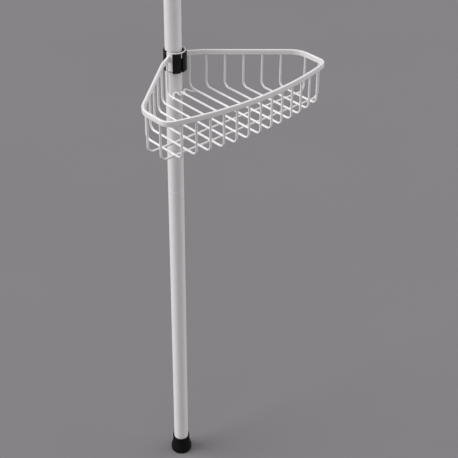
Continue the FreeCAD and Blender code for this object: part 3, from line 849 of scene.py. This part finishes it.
# %% Runner wires
LONG_BEND_R = 10.0 * MM
RUNNER_INSET = 12.0 * MM
RUNNERS = {"rear": REAR_CORNER_OUT + RUNNER_INSET, "front": FRONT_CORNER_OUT - RUNNER_INSET}

for i, node in each("long_wires"):
    end, level = top(node).z + WELD_SUNK, bottom(node).z + WIRE_R
    for name, out in RUNNERS.items():
        x = end_x(out)
        piece = wire("runner_%s_%d" % (name, i),
                     [plan(-x, out, end), plan(-x, out, level), plan(x, out, level),
                      plan(x, out, end)], [0, LONG_BEND_R, LONG_BEND_R, 0])
        settle(piece, "basket_%d" % i, "white_powder_coat", node)
print("runners at", ", ".join("%.1f mm" % (out / MM) for out in RUNNERS.values()))

# %% [markdown]
# ## The pronged wire
#
# One short wire is bent into two narrow loops and welded under the floor wires beside the
# pole. The loops straddle the pole and keep the basket's floor from swinging in against it.
# It is the only wire that bends out of its own plane: it lies flat under the floor wires at
# its ends, rises to the loops and drops again between them, so it really needs a path in
# space and not a flat drawing.

# %% Pronged wires
PRONG_OVERRUN = 1.6 * MM
PRONG_SET_FORWARD = 5.2 * MM
PRONG_CLEARANCE = 2.2 * MM
PRONG_HALF_GAP = 5.5 * MM
PRONG_WIDTH = 5.1 * MM
PRONG_BEND_R = 2.4 * MM
PRONG_ROOT_R = 3.0 * MM
PRONG_ROOT_GAP = 7.7 * MM
PRONG_TUCK = 1.0 * MM
PRONG_END_OUT = rail_out(WIRE_PITCH) + BACK_BEND_R + PRONG_SET_FORWARD


def pronged_path(low, high):
    """Corner points and radii of the pronged wire."""
    reach = TUBE_R + PRONG_CLEARANCE + WIRE_R
    outer = PRONG_HALF_GAP + PRONG_WIDTH
    tip_inner = math.sqrt(reach ** 2 - PRONG_HALF_GAP ** 2)
    tip_outer = math.sqrt(reach ** 2 - outer ** 2)
    end = WIRE_PITCH + PRONG_OVERRUN
    rise = WIRE_PITCH - 2 * WIRE_R
    rise_out = PRONG_END_OUT + (end - rise) / (end - outer) * (tip_outer - PRONG_END_OUT)
    half = [(end, PRONG_END_OUT, low, 0), (rise, rise_out, low, PRONG_ROOT_R),
            (outer, tip_outer, high, PRONG_BEND_R),
            (PRONG_HALF_GAP, tip_inner, high, PRONG_BEND_R),
            (PRONG_HALF_GAP - PRONG_TUCK, TUBE_R + PRONG_ROOT_GAP, low, PRONG_ROOT_R)]
    points = [plan(-x, out, z) for x, out, z, _ in half]
    points += [plan(x, out, z) for x, out, z, _ in reversed(half)]
    radii = [r for _, _, _, r in half]
    return points, radii + radii[::-1]


for i, node in each("pole_prongs"):
    points, radii = pronged_path(bottom(node).z + WIRE_R, top(node).z - WIRE_R)
    piece = wire("pronged_wire_%d" % i, points, radii, CROPPED, CROPPED)
    settle(piece, "basket_%d" % i, "white_powder_coat", node)
print("pronged wires: %d, each from %.0f mm of wire" % (SHELVES, length_of(points) / MM))

# %% [markdown]
# ## Spot welds
#
# Wires are joined by pressing them together between two electrodes and passing a current.
# A little metal squeezes out at each crossing, and under the coat it shows as a small soft
# fillet in the corner between the wires. Without it the wires look laid on each other. A
# flattened bead at each contact point gives that fillet, and because most of it lies
# inside the two wires, only the fillet shows.

# %% Spot welds
BEAD = Vector((1.55, 1.55, 0.95)) * MM
BEAD_RINGS = 8
BEAD_SIDES = 14


def bead_rings(place):
    """A flattened ball, pole to pole."""
    rings = []
    for j in range(BEAD_RINGS + 1):
        lift = math.pi * j / BEAD_RINGS
        rings.append([place + Vector((BEAD.x * a, BEAD.y * b, BEAD.z * math.cos(lift)))
                      for a, b in circle(math.sin(lift), BEAD_SIDES)])
    return rings


def weld_places(contact):
    """The contact points of a basket's wires, at a height."""
    places = [plan(k * WIRE_PITCH, out, contact) for k in WIRE_COUNTS
              for out in RUNNERS.values()]
    prong = PRONG_END_OUT - PRONG_OVERRUN
    return places + [plan(side * WIRE_PITCH, prong, contact) for side in (-1, 1)]


for i, node in each("cross_wires"):
    places = weld_places(bottom(node).z)
    bm = bmesh.new()
    for place in places:
        add_rings(bm, bead_rings(place), closed=False)
    settle(piece_from(bm, "spot_welds_%d" % i), "basket_%d" % i, "white_powder_coat", node)
print("spot welds: %d a basket" % len(places))

# %% [markdown]
# ## The saddle
#
# The saddle is a strip of steel, punched flat and then rolled to a half round. The punch
# cuts a window for the clip's two pads, open below so that the clip can be pushed in, and
# leaves a small tongue that drops into the clip's slit and stops it from turning in the
# saddle. It is drawn flat too, as a grid of angle and height in which the window's cells
# are left out, then both skins and the cut edges are made from that grid, and last every
# cut edge is softened. A boolean cut would give the same window with a far messier mesh.

# %% The saddle's columns
SADDLE_HALF_ANGLE = math.radians(85)
WINDOW_HALF_ANGLE = math.radians(43)
TONGUE_HALF_WIDTH = 0.65 * MM
COLUMN_HOLD = math.radians(1.7)
COLUMN_STEP = math.radians(4.5)


def from_pole(angle, radius):
    """Distance from the pole's axis to a circle about the saddle's own centre."""
    miss = SADDLE_OFFSET * math.sin(angle)
    return SADDLE_OFFSET * math.cos(angle) + math.sqrt(radius ** 2 - miss ** 2)


def columns():
    """Angles of the grid about the saddle's centre, close beside each cut edge."""
    window = math.asin(from_pole(WINDOW_HALF_ANGLE, SADDLE_R)
                       * math.sin(WINDOW_HALF_ANGLE) / SADDLE_R)
    tongue = math.asin(TONGUE_HALF_WIDTH / SADDLE_R)
    cuts = [0.0, tongue, window, SADDLE_HALF_ANGLE]
    angles = set(cuts)
    for start, end in zip(cuts, cuts[1:]):
        near = start + COLUMN_HOLD if start else start
        run = end - COLUMN_HOLD - near
        steps = math.ceil(run / COLUMN_STEP)
        angles.update(near + run * k / steps for k in range(steps + 1))
    return sorted({-a for a in angles} | angles), window, tongue


print("the saddle's grid has %d columns of points" % len(columns()[0]))

# %% Saddles
WINDOW_MARGIN = 1.6 * MM
TONGUE_LENGTH = 7.5 * MM
SADDLE_EDGE = 0.32 * MM
CUT_FROM = math.radians(60)


def saddle_band(name, low, high):
    """The rolled strip, with its window and tongue."""
    angles, window, tongue = columns()
    closing = high - WINDOW_MARGIN
    tip = closing - TONGUE_LENGTH
    rows = [low, low + HOLD, tip - HOLD, tip, tip + HOLD, closing - HOLD, closing,
            closing + HOLD, high - HOLD, high]

    def cut_away(i, j):
        """True for a cell of the window, apart from the tongue."""
        angle = abs(angles[i] + angles[i + 1]) / 2
        height = (rows[j] + rows[j + 1]) / 2
        on_tongue = angle < tongue and height > tip
        return angle < window and height < closing and not on_tongue

    bm = bmesh.new()
    skins = [[[bm.verts.new(around(angle, radius, height, 0.0, SADDLE_OFFSET))
               for height in rows] for angle in angles]
             for radius in (SADDLE_R, SADDLE_R - SADDLE_WALL)]
    cells = {(i, j) for i in range(len(angles) - 1) for j in range(len(rows) - 1)
             if not cut_away(i, j)}
    for i, j in cells:
        ring = [(i, j), (i + 1, j), (i + 1, j + 1), (i, j + 1)]
        beside = [(i, j - 1), (i + 1, j), (i, j + 1), (i - 1, j)]
        for skin in skins:
            bm.faces.new([skin[a][b] for a, b in ring])
        for k in range(4):
            if beside[k] not in cells:
                (a, b), (c, d) = ring[k], ring[(k + 1) % 4]
                bm.faces.new((skins[0][a][b], skins[0][c][d], skins[1][c][d], skins[1][a][b]))
    bmesh.ops.delete(bm, geom=[v for v in bm.verts if not v.link_faces], context="VERTS")
    bmesh.ops.recalc_face_normals(bm, faces=bm.faces)
    cut = [edge for edge in bm.edges if edge.calc_face_angle() > CUT_FROM]
    bmesh.ops.bevel(bm, geom=cut, offset=SADDLE_EDGE, offset_type="OFFSET", segments=3,
                    profile=0.5, affect="EDGES", clamp_overlap=True)
    return piece_from(bm, name)


for i, node in each("saddle"):
    band = saddle_band("saddle_band_%d" % i, *span(node))
    settle(band, "basket_%d" % i, "white_powder_coat", node)
print("saddle: %.1f mm radius, %d faces" % (SADDLE_R / MM, len(band.data.polygons)))

# %% [markdown]
# ## The clip
#
# The clip is a springy plastic ring with a slit in front. It sits inside the saddle, and
# two thick pads beside the slit fill the saddle's window, so the ring and the saddle can't
# turn on each other. The pads hang a little lower than the ring. It is lofted round the
# pole: each ring of points is the wall's outline at one angle, and where a pad is, that
# outline steps outwards and down. The slit's two faces are parallel, not radial, so the
# rings near it are measured from the slit's centre plane.

# %% The clip's outlines
RUNNING_FIT = 0.05 * MM
TRAVEL_GAP = 0.3 * MM
LINER_R = 13.5 * MM
LINER_LIP = 1.0 * MM
LIP_ROOM_R = LINER_R + LINER_LIP + TRAVEL_GAP
CLIP_BORE_R = LINER_R + RUNNING_FIT
CLIP_CHAMFER = 0.5 * MM
PAD_R = -bottom("pole_clip_1").y
PAD_DROP = 1.0 * MM
PAD_EDGE = 0.9 * MM
ROUNDING = ((0.0, 1.0), (0.134, 0.5), (0.5, 0.134), (1.0, 0.0))


def wall_outline(wall, low, high):
    """The ring's outline where there is no pad, in (radius, height)."""
    bevel = wall - CLIP_CHAMFER
    room = min(LIP_ROOM_R, bevel)
    rise = [k * CLIP_CHAMFER / (len(ROUNDING) - 1) for k in range(len(ROUNDING))]
    foot = [(bevel + k, low + k) for k in rise]
    head = [(wall - k, high - CLIP_CHAMFER + k) for k in rise]
    return [(CLIP_BORE_R, low), (room, low), (room, low)] + foot + head


def pad_outline(pad, low, high):
    """The same outline where a pad stands out and hangs below the ring."""
    foot = [(pad - a * PAD_EDGE, low - PAD_DROP + b * PAD_EDGE) for a, b in reversed(ROUNDING)]
    head = [(pad - a * PAD_EDGE, high - b * PAD_EDGE) for a, b in ROUNDING]
    return [(CLIP_BORE_R, low), (LIP_ROOM_R, low), (LIP_ROOM_R, low - PAD_DROP)] + foot + head


print("the clip's pads stand %.1f mm from the pole's axis" % (PAD_R / MM))

# %% Clips
CLIP_BACK_R = 15.0 * MM
CLIP_FRONT_R = 14.8 * MM
CLIP_HALF_SLIT = 1.3 * MM
CLIP_STEP = math.radians(4)
PAD_TURN = WINDOW_HALF_ANGLE - SEAT_FIT / PAD_R


def beside_slit(angle, radius, height, half_slit):
    """A point at an angle, but no nearer to the slit's centre plane than its half width."""
    least = math.asin(half_slit / radius)
    return around(min(max(angle, least), 2 * math.pi - least), radius, height)


def clip_rings(low, high):
    """Rings round the pole, from one side of the slit to the other."""
    stops = [(0.0, CLIP_HALF_SLIT + a * PAD_EDGE, PAD_R - b * PAD_EDGE) for a, b in ROUNDING]
    angle = 2 * math.asin((CLIP_HALF_SLIT + PAD_EDGE) / CLIP_BORE_R)
    while angle < PAD_TURN - CLIP_STEP / 2:
        stops.append((angle, CLIP_HALF_SLIT, PAD_R))
        angle += CLIP_STEP
    stops += [(PAD_TURN - a * PAD_EDGE / PAD_R, CLIP_HALF_SLIT, PAD_R - b * PAD_EDGE)
              for a, b in reversed(ROUNDING)]
    steps = math.ceil((math.pi - PAD_TURN) / CLIP_STEP)
    stops += [(PAD_TURN + (math.pi - PAD_TURN) * k / steps, CLIP_HALF_SLIT, 0.0)
              for k in range(steps + 1)]
    rings = []
    for angle, half_slit, pad in stops:
        wall = max(CLIP_BACK_R, from_pole(angle, CLIP_FRONT_R))
        outline = pad_outline(pad, low, high) if pad else wall_outline(wall, low, high)
        outline.append((CLIP_BORE_R, high))
        rings.append([beside_slit(angle, r, z, half_slit) for r, z in outline])
    mirrored = [[Vector((-p.x, p.y, p.z)) for p in ring] for ring in reversed(rings[:-1])]
    return rings + mirrored


for i, node in each("pole_clip"):
    rings = clip_rings(bottom(node).z + PAD_DROP, top(node).z)
    settle(ringed("clip_ring_%d" % i, rings), "basket_%d" % i, "black_plastic", node)
print("clips: %d, lofted from %d rings each" % (SHELVES, len(rings)))

# %% [markdown]
# ## The liner
#
# Between the clip and the painted tube sits a thin rubber sleeve. It grips the tube so that
# the basket stays at its height, and the clip turns on its smooth outside between two lips.
# Only the rear half has lips. The front half ends inside the clip, so no black line shows
# between tube and saddle from the front. The sleeve is slit at the back so that it can be
# snapped over the tube. It is wrapped in the same way as the clip, from the slit round.

# %% Liners
LINER_BORE_R = TUBE_R + RUNNING_FIT
LINER_FLANGE = 0.8 * MM
LINER_FRONT_INSET = 1.0 * MM
LINER_HALF_SLIT = 0.6 * MM
LINER_EDGE = 0.25 * MM
LINER_STEPS = 80


def liner_rings(low, high):
    """Rings round the pole, from one side of the rear slit to the other."""
    lip = LINER_R + LINER_LIP
    outline = rounded_outline([
        (LINER_BORE_R, low, 0), (lip, low, LINER_EDGE), (lip, low + LINER_FLANGE, LINER_EDGE),
        (LINER_R, low + LINER_FLANGE, 0), (LINER_R, high - LINER_FLANGE, 0),
        (lip, high - LINER_FLANGE, LINER_EDGE), (lip, high, LINER_EDGE), (LINER_BORE_R, high, 0)])
    inset = LINER_FLANGE + TRAVEL_GAP + LINER_FRONT_INSET
    front = [Vector((min(p.x, LINER_R), 0, min(max(p.z, low + inset), high - inset)))
             for p in outline]
    quarter = LINER_STEPS // 4
    turns = [(k, outline) for k in range(quarter + 1)]
    turns += [(k, front) for k in range(quarter, 3 * quarter + 1)]
    turns += [(k, outline) for k in range(3 * quarter, LINER_STEPS + 1)]
    rings = [[beside_slit(2 * math.pi * k / LINER_STEPS, p.x, p.z, LINER_HALF_SLIT)
              for p in points] for k, points in turns]
    return [[Vector((p.x, -p.y, p.z)) for p in ring] for ring in rings]


for i, node in each("clip_liner"):
    rings = liner_rings(*span(node))
    settle(ringed("liner_sleeve_%d" % i, rings), "slider_%d" % i, "black_rubber", node)
print("liners: %d, %.1f mm high" % (SHELVES, (top(node).z - bottom(node).z) / MM))

# %% [markdown]
# ## The telescoping tube and its lock
#
# The last tube slides in and out of the pole so that the unit fits the room. A slotted
# collet closes on it when the nut is turned. The nut is what a hand takes hold of, so it is
# tapered and has twelve finger flutes. A boolean with twelve cylinders would cut them with
# knife-sharp edges. Here the turned outline is pulled in by a smooth wave instead, one for
# each flute, which gives the soft ridges of a moulded grip.

# %% Telescoping tube
telescope = tube_piece("telescoping_tube", "extension_tube")
settle(telescope, "extension", "white_powder_coat", "extension_tube")
EXTENSION_R = top("extension_tube").x
print("telescoping tube: %.1f mm across" % (2 * EXTENSION_R / MM))

# %% Twist nut
NUT_LOW, NUT_TOP = span("lock_nut")
NUT_WALL = 4.2 * MM
NUT_TAPER = 1.8 * MM
NUT_EDGE = 1.2 * MM
NUT_BORE_R = TUBE_R + TRAVEL_GAP
NUT_FOOT_R = NUT_BORE_R + NUT_WALL
NUT_TOP_R = NUT_FOOT_R - NUT_TAPER
NUT_MOUTH_R = EXTENSION_R + TRAVEL_GAP
NUT_MOUTH_EDGE = 0.3 * MM
COLLET_WALL = 1.2 * MM
COLLET_BODY = 18 * MM
COLLET_CONE = 12 * MM
THREAD_R = TUBE_R + RUNNING_FIT
THREAD_LOW = top("tube_%d" % SECTIONS).z - TRAVEL_GAP
CONE_LOW = THREAD_LOW + COLLET_BODY + 2 * TRAVEL_GAP
CONE_TOP = CONE_LOW + COLLET_CONE
CONE_TOP_R = NUT_MOUTH_R + COLLET_WALL
FLUTES = 12
FLUTE_DEPTH = 0.9 * MM
FLUTE_HALF_TURN = math.radians(6.6)
NUT_SEGMENTS = 288


def fluted(radius, angle):
    """A radius, pulled in where a finger flute is, on the outside of the nut only."""
    if radius < NUT_TOP_R - NUT_EDGE:
        return radius
    pitch = 2 * math.pi / FLUTES
    from_flute = abs((angle + pitch / 4) % pitch - pitch / 2)
    if from_flute > FLUTE_HALF_TURN:
        return radius
    return radius - FLUTE_DEPTH * math.cos(math.pi / 2 * from_flute / FLUTE_HALF_TURN) ** 2


nut = turned("twist_nut", [
    (NUT_BORE_R, NUT_LOW, 0), (NUT_FOOT_R, NUT_LOW, NUT_EDGE), (NUT_TOP_R, NUT_TOP, NUT_EDGE),
    (NUT_MOUTH_R, NUT_TOP, NUT_MOUTH_EDGE), (NUT_MOUTH_R, CONE_TOP, 0), (CONE_TOP_R, CONE_TOP, 0),
    (THREAD_R, CONE_LOW, 0), (THREAD_R, THREAD_LOW, 0), (NUT_BORE_R, THREAD_LOW, 0)],
    NUT_SEGMENTS, fluted)
settle(nut, "lock_nut", "black_plastic", "lock_nut")
print("twist nut: %d flutes, %d faces" % (FLUTES, len(nut.data.polygons)))

# %% [markdown]
# ## The sprung plunger
#
# Above the nut a bright plunger slides in a bush and presses the cap to the ceiling. The
# bush shows only as a black collar on the tube's end. The cap is a moulded dish with a
# straight boss, and its rubber pad has rings moulded in its face, which bite into paint and
# let trapped air out. All of them are turned pieces, and the rings are simply a few more
# corners in the pad's outline.

# %% Bush and plunger
SOFT_EDGE = 1.0 * MM
LIP_EDGE = 0.4 * MM
FINE_EDGE = 0.25 * MM
PLUNGER_R = top("plunger_tube").x
PLUNGER_TOP = top("plunger_tube").z
SOCKET_R = PLUNGER_R + RUNNING_FIT
BUSH_LOW, BUSH_TOP = span("plunger_bush")
BUSH_SHANK_R = EXTENSION_R - TUBE_WALL - SEAT_FIT
TELESCOPE_TOP = top("extension_tube").z
bush = turned("guide_bush", [
    (SOCKET_R, BUSH_LOW, 0), (BUSH_SHANK_R, BUSH_LOW, 0), (BUSH_SHANK_R, TELESCOPE_TOP, 0),
    (EXTENSION_R, TELESCOPE_TOP, FINE_EDGE), (EXTENSION_R, BUSH_TOP, SOFT_EDGE),
    (SOCKET_R, BUSH_TOP, LIP_EDGE)])
settle(bush, "extension", "black_plastic", "plunger_bush")
settle(tube_piece("plunger_rod", "plunger_tube"), "plunger", "bright_steel", "plunger_tube")
print("plunger: %.1f mm across" % (2 * PLUNGER_R / MM))

# %% Ceiling cap
CAP_LOW, CAP_TOP = span("ceiling_cap")
CAP_R = top("ceiling_cap").x
CAP_BEND = 5.0 * MM
SOCKET_EDGE = 0.3 * MM
BOSS_R = SOCKET_R + 3.95 * MM
BOSS_HEIGHT = 8 * MM
RECESS_R = CAP_R - 2.0 * MM
RECESS_LOW = CAP_TOP - 1.5 * MM
cap = turned("ceiling_dish", [
    (SOCKET_R, CAP_LOW, SOCKET_EDGE), (BOSS_R, CAP_LOW, SOFT_EDGE),
    (BOSS_R, CAP_LOW + BOSS_HEIGHT, CAP_BEND), (CAP_R, CAP_TOP - CAP_BEND, SOFT_EDGE),
    (CAP_R, CAP_TOP, SOFT_EDGE), (RECESS_R, CAP_TOP, LIP_EDGE), (RECESS_R, RECESS_LOW, 0),
    (0, RECESS_LOW, 0), (0, PLUNGER_TOP, 0), (SOCKET_R, PLUNGER_TOP, 0)], FINE_SEGMENTS)
settle(cap, "plunger", "black_plastic", "ceiling_cap")
print("ceiling cap: %.0f mm across" % (2 * CAP_R / MM))

# %% Ceiling pad
GRIP_LOW, GRIP_TOP = span("ceiling_pad")
GRIP_R = top("ceiling_pad").x
GROOVES = [radius * MM for radius in (25.0, 19.0, 13.0)]
GROOVE_LOW = GRIP_TOP - 0.8 * MM
GROOVE_MOUTH = 0.8 * MM
GROOVE_FLOOR = 0.5 * MM
face = []
for r in GROOVES:
    face += [(r + GROOVE_MOUTH, GRIP_TOP, FINE_EDGE), (r + GROOVE_FLOOR, GROOVE_LOW, 0),
             (r - GROOVE_FLOOR, GROOVE_LOW, 0), (r - GROOVE_MOUTH, GRIP_TOP, FINE_EDGE)]
outline = [(0, GRIP_LOW, 0), (GRIP_R, GRIP_LOW, 0), (GRIP_R, GRIP_TOP, SOFT_EDGE)]
pad = turned("ceiling_grip_pad", outline + face + [(0, GRIP_TOP, 0)], FINE_SEGMENTS)
settle(pad, "plunger", "black_rubber", "ceiling_pad")
print("ceiling pad: %d grooves" % len(GROOVES))

# %% [markdown]
# ## The spring
#
# A long spring in the telescoping tube keeps the plunger pressed to the ceiling. It is
# coiled from drawn wire and stands between its seat and the plunger's piston. A rigid
# piece can't get shorter when the plunger is pushed in, and would cut through it. Here
# the wire is swept along a helix as one rigid piece. How much of its length it would
# keep follows from the joint's travel.

# %% Spring
SPRING_WIRE_R = 0.8 * MM
SPRING_WIRE_SIDES = 12
SPRING_TURNS = 18
STEPS_A_TURN = 28
PLUNGER_JOINT = next(joint for joint in frame["joints"] if joint["name"] == "plunger_slide")


def helix(radius, low, high):
    """Points that climb round the pole's axis."""
    count = SPRING_TURNS * STEPS_A_TURN
    return [around(math.pi / 2 + 2 * math.pi * k / STEPS_A_TURN, radius,
                   low + (high - low) * k / count) for k in range(count + 1)]


spring_low, spring_high = span("top_spring")
turns = helix(top("top_spring").x - SPRING_WIRE_R, spring_low + SPRING_WIRE_R,
              spring_high - SPRING_WIRE_R)
spring = ringed("coil_spring", swept_rings([(point, 1.0) for point in turns],
                                           circle(SPRING_WIRE_R, SPRING_WIRE_SIDES)))
settle(spring, "extension", "spring_steel", "top_spring")
spring_keeps = 1 + PLUNGER_JOINT["range_m"][0] / (spring_high - spring_low)
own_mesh(spring)
print("spring: %d turns, keeps %.2f of its length" % (SPRING_TURNS, spring_keeps))

# %% [markdown]
# ## Parts that stay as they are
#
# The joint plugs, the glide, the collet, the spring's seat and the piston already have
# their real shape in the construction model. Apart from the plugs' thin ribs they are
# hidden in the pole. They keep their shape, and only change their plain grey for the
# finish that the record names for them.

# %% Finishes for the kept parts
SLOTS = {part["node"]: part["material_slot"] for part in frame["record"]["subparts"]}
kept = [name for name, node in frame["nodes"].items() if not node.hide_render]
for name in kept:
    materials = frame["nodes"][name].data.materials
    materials.clear()
    materials.append(FINISHES[SLOTS[name]])
print("kept:", ", ".join(sorted(kept)))

# %% [markdown]
# ## Floor and background
#
# A plain pale floor takes the object's shadow. It is so wide that its edge is at most a
# faint horizon, and its tone drifts a little, as paint on a studio floor does. The world
# gives a weak light from all sides, which fills the shadows. Its background is a colour that
# only the camera and mirrors see, so making it paler adds no light to the object.

# %% Floor
FLOOR_SIZE = 80.0
FLOOR_TONES = ((0.197, 0.191, 0.197, 1.0), (0.205, 0.199, 0.206, 1.0))

bm = bmesh.new()
bmesh.ops.create_grid(bm, x_segments=1, y_segments=1, size=FLOOR_SIZE / 2)
floor = piece_from(bm, "floor")
floor_finish = Finish("floor", Specular_IOR_Level=0.12)
floor_cloud = floor_finish.noise(400 * MM, 3.0)
floor_finish.feed(Base_Color=floor_finish.mix(floor_cloud, *FLOOR_TONES),
                  Roughness=0.70 + 0.1 * floor_cloud)
floor.data.materials.append(floor_finish.material)
print("floor %.0f m wide" % FLOOR_SIZE)

# %% Background
BACKGROUND = (0.252, 0.244, 0.253, 1.0)
ROOM_COLOUR = (0.88, 0.82, 0.80, 1.0)
ROOM_STRENGTH = 0.35


def seen_directly(tree):
    """1 for rays from the camera, from a mirror or through glass, 0 for light."""
    path = [Value.node(tree, "ShaderNodeLightPath", out=name)
            for name in ("Is Camera Ray", "Is Glossy Ray", "Is Transmission Ray")]
    return path[0].math("MAXIMUM", path[1]).math("MAXIMUM", path[2])


world = bpy.data.worlds.new("room")
world.use_nodes = True
bpy.context.scene.world = world
sky = world.node_tree
room_light = sky.nodes["Background"]
room_light.inputs["Color"].default_value = ROOM_COLOUR
room_light.inputs["Strength"].default_value = ROOM_STRENGTH
shown = Value.node(sky, "ShaderNodeBackground", None, {"Color": BACKGROUND, "Strength": 1.0})
either = Value.node(sky, "ShaderNodeMixShader", None,
                    {0: seen_directly(sky), 1: Value(room_light.outputs[0]), 2: shown})
sky.links.new(either.socket, sky.nodes["World Output"].inputs["Surface"])
print("room light %.2f, nodes in the world: %d" % (ROOM_STRENGTH, len(sky.nodes)))

# %% [markdown]
# ## Three lamps
#
# Three soft lamps stand in for a room with large windows. The key light comes from far on
# the left, so that the pole is brightest along its left side and falls off across its
# width. A weaker one on the right lifts the far edge, and one overhead lights the tops of
# the wires. Each is a wide disc of light that is very far away, because the pole is two and
# a half metres tall and a lamp close to it would burn out one end and leave the other dim.

# %% Lamps
LAMPS = (("key_lamp", -126, 34, 48, 2.80, (0.97, 0.98, 1.0)),
         ("right_lamp", 62, 24, 60, 1.42, (0.945, 0.935, 1.0)),
         ("top_lamp", -30, 70, 60, 0.70, (0.95, 0.96, 1.0)))


def soft_lamp(name, azimuth, elevation, width, strength, colour):
    """A wide, far disc of light. Its width and both angles are in degrees."""
    data = bpy.data.lights.new(name, "SUN")
    data.angle = math.radians(width)
    data.energy = strength
    data.color = colour
    lift = math.radians(elevation)
    lamp = in_scene(name, data)
    lamp.location = around(math.radians(azimuth), math.cos(lift), math.sin(lift))
    lamp.rotation_euler = lamp.location.to_track_quat("Z", "Y").to_euler()


for lamp in LAMPS:
    soft_lamp(*lamp)
bpy.context.scene.view_settings.view_transform = "Standard"
print("lamps:", ", ".join(lamp[0] for lamp in LAMPS))
